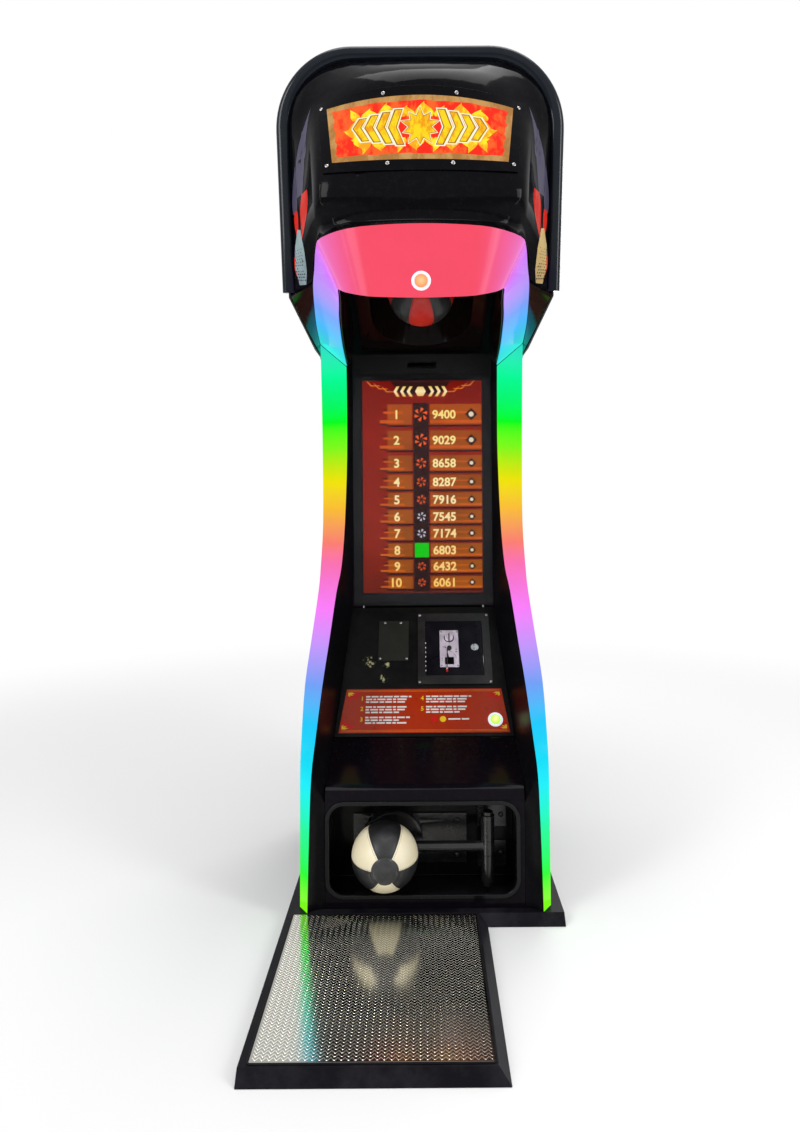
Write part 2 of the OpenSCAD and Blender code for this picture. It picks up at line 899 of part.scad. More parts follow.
module screen_panel() {
  color("#5a1210")
    union() {
      box([-screen_w / 2, screen_y + gap, screen_z],
        [screen_w / 2, screen_y + sheet_t + 4, screen_top]);
      box([-screen_w / 2 - panel_rim, screen_y + sheet_t + gap, screen_z - panel_rim],
        [screen_w / 2 + panel_rim, screen_y + sheet_t + panel_d, screen_top + panel_rim]);
    }
}

// Sheet metal box with the game board and power supply, standing on the base.
board_hw = 130;
board_y = base_d - 202;
board_d = 114;
board_h = 300;
module game_board_box() {
  color("#8d9196")
    difference() {
      box([-board_hw, board_y, base_h + gap], [board_hw, board_y + board_d, base_h + gap + board_h]);
      box([2 - board_hw, board_y - through, base_h + gap + 2],
        [board_hw - 2, board_y + board_d - 2, base_h + gap + board_h - 2]);
    }
}

hood_floor_t = 6;
skirt_z = 1640;
hood_low = neck_h + hood_floor_t + 2 * gap;
hood_low_hw = side_x(neck_h) + hood_t + 2 * gap;
lip_d = 12;
lip_in = 19;
function trim_plane_y(z) = trim_y - (z - trim_low) * tan(trim_lean);

// Inverted U of the hood, seen from the front, drawn in by the inset.
module hood_outline(inset) {
  hw = hood_w / 2 - inset;
  top = hood_top - inset;
  r = hood_r - inset;
  translate([-hw, skirt_z])
    square([2 * hw, top - r - skirt_z]);
  translate([r - hw, skirt_z])
    square([2 * (hw - r), top - skirt_z]);
  for (side = [-1, 1])
    translate([side * (hw - r), top - r])
      circle(r, $fn = 96);
  polygon([[-hw, skirt_z], [hw, skirt_z],
    [hood_low_hw - inset, hood_low], [inset - hood_low_hw, hood_low]]);
}

module along_y(y0, y1) {
  translate([0, y1, 0])
    rotate([90, 0, 0])
      linear_extrude(y1 - y0)
        children();
}

// Slab parallel to the trim's leaning plane, from d0 to d1 behind it.
module trim_slab(d0, d1, below = 0) {
  translate([0, trim_y, trim_low])
    rotate([trim_lean, 0, 0])
      box([-500, d0, -below], [500, d1, 900]);
}

side_edge = [[-20, 1640], [75, 1624], [250, 1594], [370, hood_low]];

// Board on top of the side panels that carries the hood, open in the middle.
hood_floor_y = strip_y[strip_last] + 34;
hood_floor_hw = hood_low_hw - 1;
floor_rim_side = 78;
floor_rim_back = 40;

module hood_floor() {
  color("#202024")
    difference() {
      box([-hood_floor_hw, hood_floor_y, neck_h + gap],
        [hood_floor_hw, back_y, neck_h + gap + hood_floor_t]);
      box([floor_rim_side - hood_floor_hw, hood_floor_y - through, neck_h],
        [hood_floor_hw - floor_rim_side, back_y - floor_rim_back, neck_h + 2 * hood_floor_t]);
    }
}

module hood_shell() {
  color("#0e0d12")
    difference() {
      along_y(-300, back_y)
        hood_outline(0);
      along_y(-310, back_y + through)
        union() {
          hood_outline(hood_t);
          translate([hood_t - hood_low_hw, hood_low - through])
            square([2 * (hood_low_hw - hood_t), 2 * through]);
        }
      trim_slab(-500, lip_d + gap, 300);
      translate([-400, 0, 0])
        rotate([90, 0, 90])
          linear_extrude(800)
            polygon([[-400, skirt_z - 300], [-400, skirt_z + 64], side_edge[0], side_edge[3],
              [side_edge[3].x, skirt_z - 300]]);
    }
}

module hood_rear_cover() {
  color("#141418")
    difference() {
      along_y(back_y + gap, back_y + 9)
        hood_outline(1);
      vent_slots(1800, vent_n);
      vent_slots(2060, vent_n);
    }
}

module hood_trim() {
  color("#08080a")
    union() {
      intersection() {
        trim_slab(0, trim_d);
        along_y(-320, 120)
          difference() {
            hood_outline(-trim_out);
            hood_outline(-gap);
          }
      }
      intersection() {
        trim_slab(0, lip_d);
        along_y(-320, 120)
          difference() {
            hood_outline(-1);
            hood_outline(lip_in);
          }
      }
    }
}

// Upper and lower edge of the hood light, from the front centre to the neck.
light_up = [[0, -270, 1745], [83, -266, 1744], [167, -251, 1741], [238, -200, 1736],
  [257, -150, 1728], [270, -80, 1696], [280, -30, 1672], [291, 65, 1650], [310, 260, 1625],
  [side_x(neck_h + 39), strip_y[strip_last] - 1.5, neck_h + 41]];
light_low = [[0, -270, 1575], [62, -267, 1577], [124, -258, 1582], [178, -222, 1600],
  [203, -165, 1622], [210, -90, 1622], [215, -30, 1612], [225, 70, 1598], [236, 270, 1566],
  [side_x(neck_h + 39) - strip_w[strip_last], strip_y[strip_last] - chamfer_d - 1.5,
    strip_inner_z[strip_last] + 2]];
light_in = [[0, 4, 0], [0, 4, 0], [-0.5, 4, 0], [-2, 3, 0.5], [-3, 2, 1], [-3, 1, 2],
  [-2.5, 0.5, 3], [-2.5, 0.5, 3], [-2.5, 0.5, 3], [-2, 0, 3]];
light_last = len(light_up) - 1;
function both_sides(half) = concat(mirrored(half), half);
function inward(half) = [for (i = [0:light_last]) half[i] + light_in[i]];
punch_button_z = 1612;

module hood_light() {
  color("#f0709c")
    difference() {
      skin([refine(both_sides(light_low), smooth_n), refine(both_sides(light_up), smooth_n)],
        [refine(both_sides(inward(light_low)), smooth_n),
         refine(both_sides(inward(light_up)), smooth_n)]);
      translate([0, light_up[0].y, punch_button_z])
        rotate([90, 0, 0])
          cylinder(r = button_body_r + gap, h = 40, center = true);
    }
}

// Fascia, cheeks and chin in one moulding, rows from the chin to the top. The
// fascia's bow grows from its lower to its upper edge.
fascia_y = -254;
fascia_hw = 250;
bow_low = 12;
bow_high = 92;
bow_z0 = 1850;
bow_z1 = 2066;
fascia_z0 = 1816;
fascia_z1 = 2078;
nose_in = lip_in + 0.6;
nose_hw = hood_w / 2 - nose_in;
nose_r = hood_r - nose_in;
nose_top = hood_top - nose_in;
bow_rate = (bow_high - bow_low) / (bow_z1 - bow_z0);
function fascia_bow(z) = bow_low + bow_rate * max(0, z - bow_z0);
function fascia(x, z) = [x, fascia_y + fascia_bow(z) * x * x / fascia_hw / fascia_hw, z];
function at_trim(x, z) = [x, trim_plane_y(z) + 2, z];
function trim_corner(a) =
  at_trim(nose_hw - nose_r + nose_r * sin(a), nose_top - nose_r + nose_r * cos(a));
nose_light_row = concat([for (i = [0:6]) light_up[i] + [0, 0, 0.6]], [at_trim(nose_hw, 1652)]);
nose_rows = [
  nose_light_row,
  [[0, -236, 1768], [80, -233, 1768], [158, -224, 1768], [226, -196, 1768],
    [250, -148, 1762], [270, -92, 1745], [292, -55, 1712], at_trim(nose_hw, 1700)],
  [fascia(0, fascia_z0), fascia(77, 1815), fascia(155, 1812), fascia(232, 1806),
    [254, -196, 1792], [276, -138, 1776], [300, -88, 1762], at_trim(nose_hw, 1755)],
  [fascia(0, 1870), fascia(79, 1870), fascia(158, 1870), fascia(237, 1868),
    [260, -196, 1862], [280, -146, 1856], [302, -104, 1850], at_trim(nose_hw, 1845)],
  [fascia(0, 1974), fascia(82, 1974), fascia(164, 1974), fascia(246, 1972),
    [268, -172, 1962], [286, -148, 1950], [305, -124, 1944], at_trim(nose_hw, 1938)],
  [fascia(0, fascia_z1), fascia(85, 2077), fascia(170, 2073), fascia(256, 2064),
    [276, -146, 2050], [292, -134, 2038], [308, -122, 2030], at_trim(nose_hw, 2022)],
  [[0, -214, 2136], [82, -209, 2135], [164, -190, 2130], [240, -158, 2118],
    [264, -148, 2108], [282, -140, 2100], [300, -130, 2094], trim_corner(75)],
  [at_trim(0, nose_top), at_trim(84, nose_top), trim_corner(0), trim_corner(15),
    trim_corner(27), trim_corner(38), trim_corner(49), trim_corner(60)]];
nose_n = 2;
// Keeps the fascia behind the marquee from bulging in front of its curve.
function flattened(p) = abs(p.x) < fascia_hw + 14 && p.z > fascia_z0 && p.z < fascia_z1 - 1
  ? [p.x, max(p.y, fascia(p.x, p.z).y), p.z] : p;
nose_grid = [for (row = refine([for (r = nose_rows) refine(both_sides(r), nose_n)], nose_n))
  [for (p = row) flattened(p)]];
marquee_z0 = 1872;
marquee_z1 = 2067;
marquee_hw = 247;
marquee_low_hw = 228;
lit_z0 = 1897;
lit_z1 = 2045;
lit_hw = 223;
lit_low_hw = 206;

// Tapered window through the fascia, wider at the top.
module lit_window(inset) {
  translate([0, -150, 0])
    rotate([90, 0, 0])
      linear_extrude(200)
        polygon([[inset - lit_low_hw, lit_z0 + inset], [lit_low_hw - inset, lit_z0 + inset],
          [lit_hw - inset, lit_z1 - inset], [inset - lit_hw, lit_z1 - inset]]);
}

module hood_nose() {
  color("#0b0a0e")
    difference() {
      skin(nose_grid, shifted_grid(nose_grid, [0, skin_t, 0]));
      lit_window(8);
    }
}

// Curved sheet along the fascia, by its half widths, offset and thickness.
sheet_rows = 9;
module fascia_sheet(low_hw, high_hw, z0, z1, offset_y, t) {
  front = [for (k = [0:sheet_rows])
    let (z = z0 + (z1 - z0) * k / sheet_rows, hw = low_hw + (high_hw - low_hw) * k / sheet_rows)
    [for (i = [-12:12]) fascia(i * hw / 12, z) + [0, offset_y, 0]]];
  skin(front, shifted_grid(front, [0, t, 0]));
}

// The marquee is bedded on a thin foam tape.
marquee_gap = 1.4;
marquee_t = 3;
module marquee_plate() {
  color("#0b0a0e")
    difference() {
      fascia_sheet(marquee_low_hw, marquee_hw, marquee_z0, marquee_z1,
        -marquee_gap - marquee_t, marquee_t);
      lit_window(0);
    }
}

module marquee_panel() {
  color("#ff5a2a")
    fascia_sheet(lit_low_hw - gap, lit_hw - gap, lit_z0 + gap, lit_z1 - gap,
      0.5 - marquee_gap - marquee_t, marquee_t - 0.6);
}

module marquee_lamp() {
  color("#f4f2e8")
    fascia_sheet(lit_low_hw + 10, lit_hw + 10, lit_z0 - 12, lit_z1 + 12, skin_t + 3.5, 3);
}

// Dark sheets from the hood light's upper edge out to the hood's side walls.
soffit_wall = hood_w / 2 - hood_t - 1.5;
soffit_inner = [light_up[6] + [0.6, 8, 0.2], light_up[7] + [0.6, 0, 0.6],
  light_up[8] + [0.6, 0, 0.6], light_up[9] + [0.8, -1, 0.4]];
soffit_outer = [[soffit_wall, side_edge[0].x, side_edge[0].y + 1],
  [soffit_wall - 4, side_edge[1].x, side_edge[1].y + 1],
  [soffit_wall - 12.5, side_edge[2].x, side_edge[2].y + 1],
  [hood_low_hw - hood_t - 2.6, strip_y[strip_last] - 2, hood_low + 1]];
soffit_up = [[0, 0, 3], [0.6, 0, 3], [2, 0, 2.4], [2.2, 0, 0.4]];
function lifted(half) = [for (i = [0:len(half) - 1]) half[i] + soffit_up[i]];

module hood_soffits() {
  color("#101014")
    for (side = [0, 1])
      mirror([side, 0, 0])
        skin([refine(soffit_inner, smooth_n), refine(soffit_outer, smooth_n)],
          [refine(lifted(soffit_inner), smooth_n), refine(lifted(soffit_outer), smooth_n)]);
}

// Cavity liner: a lip and walls round the mouth, a sloping ceiling and the ball's well.
ceiling_slope = 19;
ceiling_back_y = screen_y - 1;
ceiling_back_z = surround_z1 + 16;
function ceiling_z(y) = ceiling_back_z + (ceiling_back_y - y) * tan(ceiling_slope);
liner_edge_in = [[0, 7.5, 2], [0, 7.5, 2], [-1, 7.5, 2], [-6, 6, 2], [-7, 4, 2], [-8, 0, 1],
  [-8, 0, 1], [-8, 0, 1], [-8, 0, 1], [-7, 1, 3]];
liner_turn_in = [[0, 31, 10], [0, 31, 10], [-4, 29, 10], [-14, 19, 10], [-15, 7, 10],
  [-11, 0, 10], [-10, 0, 10], [-10, 0, 10], [-10, 0, 10], [-9, 1, 9]];
liner_last = [screen_hw - 3, screen_y - 6, neck_h + 31];
liner_edge = concat([for (i = [0:light_last]) light_low[i] + liner_edge_in[i]], [liner_last]);
liner_turn = concat([for (i = [0:light_last]) light_low[i] + liner_turn_in[i]],
  [liner_last + [-2, 0, 3]]);
liner_top = [[0, -214, 1752], [60, -212, 1752], [118, -206, 1753], [160, -184, 1756],
  [182, -146, 1760], [190, -90, 1772], [194, -30, 1786], for (i = [7:9])
    [light_low[i].x - 24, light_low[i].y, ceiling_z(light_low[i].y) - 6],
  [liner_last.x - 4, liner_last.y, ceiling_z(liner_last.y) - 2]];
function back_to_front(row) = [for (i = [len(row) - 1:-1:0]) row[i]];
function ring(half, n) = back_to_front(refine(both_sides(half), n));
liner_rows = [ring(liner_edge, 2), ring(liner_turn, 2), ring(liner_top, 2)];
liner_out = [[0, -2.5, 0.5], [0, -2.5, 0.5], [0.5, -2.5, 0.5], [1.5, -2, 0.5], [2.5, -1, 0.5],
  [2.5, 0, 0.5], [2.5, 0, 0.5], [2.5, 0, 0.5], [2.5, 0, 0.5], [2.5, 0, 0.5], [2.5, 0, 0.5]];
function outward(half) = [for (i = [0:len(half) - 1]) half[i] + liner_out[i]];
liner_rows_out = [ring(outward(liner_edge), 2), ring(outward(liner_turn), 2),
  ring(outward(liner_top), 2)];
well_y = 395;
well_front = 25;
well_top = 1905;
well_t = 4;
ceiling_t = 3;

module well_plan(r) {
  translate([0, well_y])
    circle(r, $fn = 96);
  translate([-r, well_front - through])
    square([2 * r, well_y - well_front + through]);
}

// Half space above the sloping ceiling's underside plus a height.
module above_ceiling(h0, h1) {
  translate([0, ceiling_back_y, ceiling_back_z])
    rotate([-ceiling_slope, 0, 0])
      box([-300, -900, h0], [300, 40, h1]);
}

module cavity_liner() {
  color("#0c0508") {
    skin(liner_rows, liner_rows_out);
    difference() {
      intersection() {
        above_ceiling(0, ceiling_t);
        linear_extrude(2400)
          polygon([for (side = [-1, 1]) each [
            [side * (liner_top[7].x - 1), side > 0 ? well_front : ceiling_back_y],
            [side * (liner_top[7].x - 1), side > 0 ? ceiling_back_y : well_front]]]);
      }
      linear_extrude(2400)
        well_plan(well_r);
    }
    difference() {
      intersection() {
        above_ceiling(1, 900);
        difference() {
          translate([0, 0, 1500])
            linear_extrude(well_top - 1500)
              difference() {
                well_plan(well_r + well_t);
                well_plan(well_r);
              }
        }
      }
      box([-200, -100, 1500], [200, well_front, 2000]);
    }
    translate([0, 0, well_top - 1])
      linear_extrude(well_t)
        intersection() {
          well_plan(well_r + well_t);
          translate([-200, well_front])
            square([400, 700]);
        }
  }
}

beam_z = well_top - 1 + well_t + gap;
beam_s = 30;
beam_ys = [-60, 400];
module hood_beams() {
  color("#3b3d40")
    for (y = beam_ys)
      difference() {
        box([gap + hood_t - hood_w / 2, y, beam_z], [hood_w / 2 - hood_t - gap, y + beam_s, beam_z + beam_s]);
        box([-hood_w, y + 2, beam_z + 2], [hood_w, y + beam_s - 2, beam_z + beam_s - 2]);
      }
}

speaker_y = 150;
speaker_z = 1820;
module loudspeakers() {
  color("#18181b")
    for (side = [-1, 1])
      translate([side * (hood_w / 2 - hood_t - gap), speaker_y, speaker_z])
        rotate([0, -90 * side, 0])
          union() {
            cylinder(r = 65, h = 6);
            cylinder(r1 = 56, r2 = 34, h = 32);
            cylinder(r = 36, h = 48);
          }
}

// Screws of the marquee, the tray's plates and the coin door frame.
marquee_screw_places = [for (side = [-1, 1]) each [
  [side * 85, marquee_z1 - 14], [side * 237, marquee_z1 - 18],
  [side * 76, marquee_z0 + 16], [side * 218, marquee_z0 + 18]]];
function fascia_turn(x, z) = atan(2 * fascia_bow(z) * x / fascia_hw / fascia_hw);
function fascia_lean(x) = atan(bow_rate * x * x / fascia_hw / fascia_hw);
module panel_screws() {
  color("#c9cacd") {
    on_tray()
      for (place = tray_screw_places)
        translate(place + [0, 0, gap / 3])
          screw_head(4, 2.2);
    for (place = marquee_screw_places)
      translate(fascia(place.x, place.y) - [0, marquee_gap + marquee_t + 0.4, 0])
        rotate([90 - fascia_lean(place.x), 0, fascia_turn(place.x, place.y)])
          screw_head(4.5, 2.4);
  }
}

// The start button sits on a thin seal in front of the hood light.
button_seal = 1;
module punch_button_at() {
  translate([0, light_up[0].y - button_seal, punch_button_z])
    rotate([90, 0, 0])
      children();
}

module punch_button_housing() {
  color("#eeeef0")
    punch_button_at()
      button_housing(skin_t + button_seal + gap);
}

module punch_button() {
  color("#ff8a3c")
    punch_button_at()
      button_plunger();
}

// Hanging bracket plates with round bearing housings for the punch shaft.
bracket_x = 172;
bracket_t = 6;
bearing_r = 26;
bearing_half = 12;
module punch_bearings() {
  color("#55585c")
    for (side = [0, 1])
      mirror([side, 0, 0])
        difference() {
          union() {
            box([bracket_x, punch_y - 34, punch_z], [bracket_x + bracket_t, punch_y + 30, beam_z - gap]);
            box([bracket_x, punch_y - 34, beam_z - gap - 6], [bracket_x + 50, punch_y + 30, beam_z - gap]);
            translate([bracket_x + bracket_t / 2, punch_y, punch_z])
              rotate([0, 90, 0])
                cylinder(r = bearing_r, h = 2 * bearing_half, center = true);
            translate([bracket_x, punch_y, punch_z])
              rotate([0, 90, 0])
                cylinder(r = 34, h = bracket_t);
          }
          translate([0, punch_y, punch_z])
            rotate([0, 90, 0])
              cylinder(r = shaft_r + run_gap, h = 2 * bracket_x);
        }
}

// Places its children at the punch pivot with +Y along the stowed arm.
module on_punch_arm() {
  translate([0, punch_y, punch_z])
    rotate([-punch_droop, 0, 0])
      children();
}

module rod_y(r, y0, y1) {
  translate([0, y0, 0])
    rotate([-90, 0, 0])
      cylinder(r = r, h = y1 - y0);
}

neck_r = 52;
neck_t = 9;
neck_y = punch_len - sqrt(punch_r * punch_r - neck_r * neck_r);
stud_r = 9;
module punch_arm() {
  color("#4c4f45")
    on_punch_arm() {
      rotate([0, 90, 0])
        cylinder(r = shaft_r, h = 2 * (bracket_x + bearing_half + 6), center = true);
      rotate([0, 90, 0])
        cylinder(r = shaft_r + 10, h = 56, center = true);
      rod_y(15, shaft_r, neck_y - neck_t + 1);
      rod_y(neck_r, neck_y - neck_t, neck_y);
      rod_y(stud_r, neck_y - 1, punch_len + 20);
    }
}

stowed_y = punch_y + punch_len * cos(punch_droop);
stowed_z = punch_z - punch_len * sin(punch_droop);
flat_y = neck_y + gap - punch_len;
ball_steps = 30;
ball_arc = [for (k = [0:ball_steps])
  let (a = 90 - (90 - asin(flat_y / punch_r)) * k / ball_steps)
  [punch_r * cos(a), punch_r * sin(a)]];
module punch_ball() {
  color("#7c1512")
    on_punch_arm()
      translate([0, punch_len, 0])
        rotate([-90, 0, 0])
          rotate_extrude($fn = 72)
            polygon(concat([[stud_r + gap, flat_y], [stud_r + gap, 20 + gap], [0, 20 + gap]],
              ball_arc));
}

module punch_bumper() {
  color("#17171a")
    translate([0, stowed_y, stowed_z + punch_r + 1])
      union() {
        cylinder(r = 24, h = 16);
        cylinder(r = 14, h = well_top - 1 - gap - stowed_z - punch_r - 1);
        translate([0, 0, well_top - 1 - gap - stowed_z - punch_r - 1 - 6])
          cylinder(r = 34, h = 6);
      }
}

module punch_lift_motor() {
  color("#8f9398")
    translate([bracket_x + bracket_t + gap, punch_y, punch_z + 62])
      rotate([0, 90, 0])
        union() {
          translate([-22, -26, 0])
            cube([44, 52, 24]);
          cylinder(r = 20, h = 62);
          translate([0, 0, 62])
            cylinder(r = 5, h = 5);
        }
}

sleeve_r = 18;
post_r = 10;
sleeves = [[66, 140], [180, 247]];
module kick_bearings() {
  color("#2e3034")
    difference() {
      union()
        for (span = sleeves) {
          translate([post_x, post_y, span[0]])
            cylinder(r = sleeve_r, h = span[1] - span[0]);
          box([post_x - 7, post_y, span[0] + 8], [post_x + 7, tub_back_y - gap, span[1] - 8]);
          box([post_x - 22, tub_back_y - gap - 6, span[0]], [post_x + 58, tub_back_y - gap, span[1]]);
          translate([post_x + 44, tub_back_y - gap - 6, (span[0] + span[1]) / 2])
            rotate([90, 0, 0])
              screw_head(7, 4);
        }
      translate([post_x, post_y, 0])
        cylinder(r = post_r + run_gap, h = 400);
    }
}

arm_r = 14;
kick_stud_x = post_x - kick_reach;
ball_pocket_r = arm_r + 0.5;
module kick_arm() {
  color("#303237")
    union() {
      translate([post_x, post_y, sleeves[0][0] - 6])
        cylinder(r = post_r, h = sleeves[1][1] - sleeves[0][0] + 14);
      translate([post_x, post_y, sleeves[0][0] - 10])
        cylinder(r = post_r + 4, h = 9.5);
      translate([post_x, post_y, sleeves[1][1] + 0.5])
        cylinder(r = post_r + 4, h = 9.5);
      translate([post_x, post_y, sleeves[0][1] + 1])
        cylinder(r = sleeve_r, h = sleeves[1][0] - sleeves[0][1] - 2);
      translate([post_x, post_y, arm_z])
        rotate([0, -90, 0])
          cylinder(r = arm_r, h = kick_reach - 10);
    }
}

module kick_ball() {
  color("#1a1a1c")
    difference() {
      translate([kick_stud_x, kick_y, kick_z])
        sphere(r = kick_r, $fn = 96);
      translate([post_x, post_y, arm_z])
        rotate([0, -90, 0])
          cylinder(r = ball_pocket_r, h = kick_reach - 10 + gap);
    }
}

wall_plate_t = 6;
bumper_r = 84;
module kick_wall_plate() {
  color("#26282b")
    union() {
      box([-203, tub_back_y - gap - wall_plate_t, 78], [118, tub_back_y - gap, 218]);
      for (z = [98, 198])
        translate([92, tub_back_y - gap - wall_plate_t, z])
          rotate([90, 0, 0])
            screw_head(8, 5);
      translate([kick_stud_x + 18, 0, kick_z]) {
        rod_y(bumper_r, kick_y + kick_r + 8, tub_back_y - gap - 1);
        rod_y(bumper_r - 8, kick_y + kick_r + 1, kick_y + kick_r + 9);
      }
    }
}

base_frame();
platform_frame();
tread_plate();
tread_border();
side_panel_left();
side_panel_right();
flank_left();
flank_right();
light_strip_left();
light_strip_right();
led_strips();
cabinet_rails();
rear_panel();
rear_door();
rear_door_hinge();
rear_door_lock();
power_inlet();
front_moulding();
recess_tub();
recess_lip();
tray_panel();
instruction_plate();
kick_button_housing();
kick_button();
cover_plate();
coin_door_frame();
coin_door();
coin_selector();
coin_return_lever();
coin_door_lock();
cash_box();
panel_screws();
screen_surround();
screen_glass();
screen_panel();
game_board_box();
hood_floor();
hood_shell();
hood_rear_cover();
hood_trim();
hood_nose();
hood_soffits();
hood_light();
marquee_plate();
marquee_panel();
marquee_lamp();
cavity_liner();
hood_beams();
loudspeakers();
punch_button_housing();
punch_button();
punch_bearings();
punch_arm();
punch_ball();
punch_bumper();
punch_lift_motor();
kick_bearings();
kick_arm();
kick_ball();
kick_wall_plate();
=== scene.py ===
"""Boxing and kicking arcade machine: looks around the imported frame, in metres."""

import json
import math

import bmesh
import bpy
from mathutils import Matrix, Vector, bvhtree

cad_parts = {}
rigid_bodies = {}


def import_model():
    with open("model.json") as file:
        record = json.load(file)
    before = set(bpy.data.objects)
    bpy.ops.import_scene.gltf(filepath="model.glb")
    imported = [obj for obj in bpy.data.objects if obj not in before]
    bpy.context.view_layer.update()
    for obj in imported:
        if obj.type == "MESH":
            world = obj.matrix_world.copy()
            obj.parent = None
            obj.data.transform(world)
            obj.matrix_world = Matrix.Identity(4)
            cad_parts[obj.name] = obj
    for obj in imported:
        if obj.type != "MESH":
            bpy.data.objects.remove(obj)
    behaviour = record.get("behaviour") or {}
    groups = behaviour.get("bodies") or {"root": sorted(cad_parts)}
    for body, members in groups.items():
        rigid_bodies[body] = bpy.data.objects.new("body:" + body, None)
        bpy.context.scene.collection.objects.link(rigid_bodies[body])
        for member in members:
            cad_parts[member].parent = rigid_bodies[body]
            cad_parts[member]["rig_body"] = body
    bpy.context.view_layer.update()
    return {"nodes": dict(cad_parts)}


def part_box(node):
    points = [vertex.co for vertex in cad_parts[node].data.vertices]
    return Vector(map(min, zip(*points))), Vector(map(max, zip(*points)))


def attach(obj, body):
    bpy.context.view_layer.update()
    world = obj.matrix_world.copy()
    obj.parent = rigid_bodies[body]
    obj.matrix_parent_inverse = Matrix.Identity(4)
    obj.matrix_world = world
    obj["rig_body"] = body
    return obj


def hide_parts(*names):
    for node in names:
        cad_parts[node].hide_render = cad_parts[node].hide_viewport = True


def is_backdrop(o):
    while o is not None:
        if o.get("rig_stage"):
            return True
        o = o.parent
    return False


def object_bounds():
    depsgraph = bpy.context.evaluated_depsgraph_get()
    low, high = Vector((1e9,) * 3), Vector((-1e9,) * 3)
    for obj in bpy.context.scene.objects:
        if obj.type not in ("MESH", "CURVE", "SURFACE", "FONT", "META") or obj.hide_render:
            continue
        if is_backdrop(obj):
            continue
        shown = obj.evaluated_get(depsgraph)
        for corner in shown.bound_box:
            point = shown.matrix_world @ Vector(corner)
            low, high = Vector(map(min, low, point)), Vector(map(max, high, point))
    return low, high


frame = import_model()

# Studio. A pale floor that fades to white, soft lamps on both sides and above,
# and the camera at eye height, level, as the photograph was taken.

scene = bpy.context.scene
scene.view_settings.view_transform = "Standard"


def new_material(name, **inputs):
    """A node material with one principled shader, whose inputs are set by name."""
    material = bpy.data.materials.new(name)
    material.use_nodes = True
    shader = material.node_tree.nodes["Principled BSDF"]
    for key, value in inputs.items():
        shader.inputs[key.replace("_", " ")].default_value = value
    return material, material.node_tree, shader


def node(tree, kind, **settings):
    """Adds a shader node and sets its properties or inputs by name."""
    made = tree.nodes.new("ShaderNode" + kind)
    for key, value in settings.items():
        if hasattr(made, key):
            setattr(made, key, value)
        else:
            made.inputs[key.replace("_", " ")].default_value = value
    return made


def link(tree, source, out, target, into):
    """Joins one node's output to another's input, each by its name or number."""
    tree.links.new(source.outputs[out], target.inputs[into])


def plain_mesh(name, vertices, faces):
    """A mesh object from points and faces as they are."""
    mesh = bpy.data.meshes.new(name)
    mesh.from_pydata([tuple(v) for v in vertices], [], [tuple(f) for f in faces])
    made = bpy.data.objects.new(name, mesh)
    scene.collection.objects.link(made)
    return made


def mesh_object(name, vertices, faces, material=None):
    """A mesh object from points and faces, with its normals made consistent."""
    made = plain_mesh(name, vertices, faces)
    work = bmesh.new()
    work.from_mesh(made.data)
    bmesh.ops.recalc_face_normals(work, faces=work.faces)
    work.to_mesh(made.data)
    work.free()
    if material:
        made.data.materials.append(material)
    return made


floor_half = 14.0
floor_cells = 8
floor = mesh_object(
    "studio_floor",
    [(floor_half * (2 * i / floor_cells - 1), floor_half * (2 * j / floor_cells - 1), 0)
     for j in range(floor_cells + 1) for i in range(floor_cells + 1)],
    [(j * (floor_cells + 1) + i, j * (floor_cells + 1) + i + 1,
      (j + 1) * (floor_cells + 1) + i + 1, (j + 1) * (floor_cells + 1) + i)
     for j in range(floor_cells) for i in range(floor_cells)])
floor.location.z = -0.0006
paint, tree, shader = new_material(
    "studio_floor_paint", Base_Color=(0.86, 0.86, 0.86, 1), Roughness=0.85)
place = node(tree, "NewGeometry")
away = node(tree, "VectorMath", operation="DISTANCE")
away.inputs[1].default_value = (0, 0.2, 0)
fade = node(tree, "MapRange", From_Min=1.1, From_Max=4.2)
fade.interpolation_type = "SMOOTHSTEP"
ray = node(tree, "LightPath")
seen = node(tree, "Math", operation="MULTIPLY")
white = node(tree, "Emission", Strength=1.0)
both = node(tree, "MixShader")
link(tree, place, "Position", away, 0)
link(tree, away, "Value", fade, "Value")
link(tree, fade, "Result", seen, 0)
link(tree, ray, "Is Camera Ray", seen, 1)
link(tree, seen, "Value", both, 0)
link(tree, shader, "BSDF", both, 1)
link(tree, white, "Emission", both, 2)
tree.links.new(both.outputs["Shader"], tree.nodes["Material Output"].inputs["Surface"])
floor.data.materials.append(paint)
floor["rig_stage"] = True

world = bpy.data.worlds.new("studio_world")
scene.world = world
world.use_nodes = True
tree = world.node_tree
background = tree.nodes["Background"]
background.inputs["Color"].default_value = (1, 1, 1, 1)
ray = node(tree, "LightPath")
mirrored = node(tree, "Math", operation="MAXIMUM")
seen = node(tree, "Math", operation="MAXIMUM")
strength = node(tree, "MapRange", To_Min=0.5, To_Max=1.0)
link(tree, ray, "Is Glossy Ray", mirrored, 0)
link(tree, ray, "Is Transmission Ray", mirrored, 1)
link(tree, mirrored, "Value", seen, 0)
link(tree, ray, "Is Camera Ray", seen, 1)
link(tree, seen, "Value", strength, "Value")
link(tree, strength, "Result", background, "Strength")


def lamp(name, at, towards, size, power):
    """A soft rectangular studio lamp that points at a place on the machine."""
    light = bpy.data.lights.new(name, "AREA")
    light.shape = "RECTANGLE"
    light.size, light.size_y = size
    light.energy = power
    made = bpy.data.objects.new(name, light)
    scene.collection.objects.link(made)
    made.location = at
    made.rotation_euler = (Vector(towards) - Vector(at)).to_track_quat("-Z", "Y").to_euler()


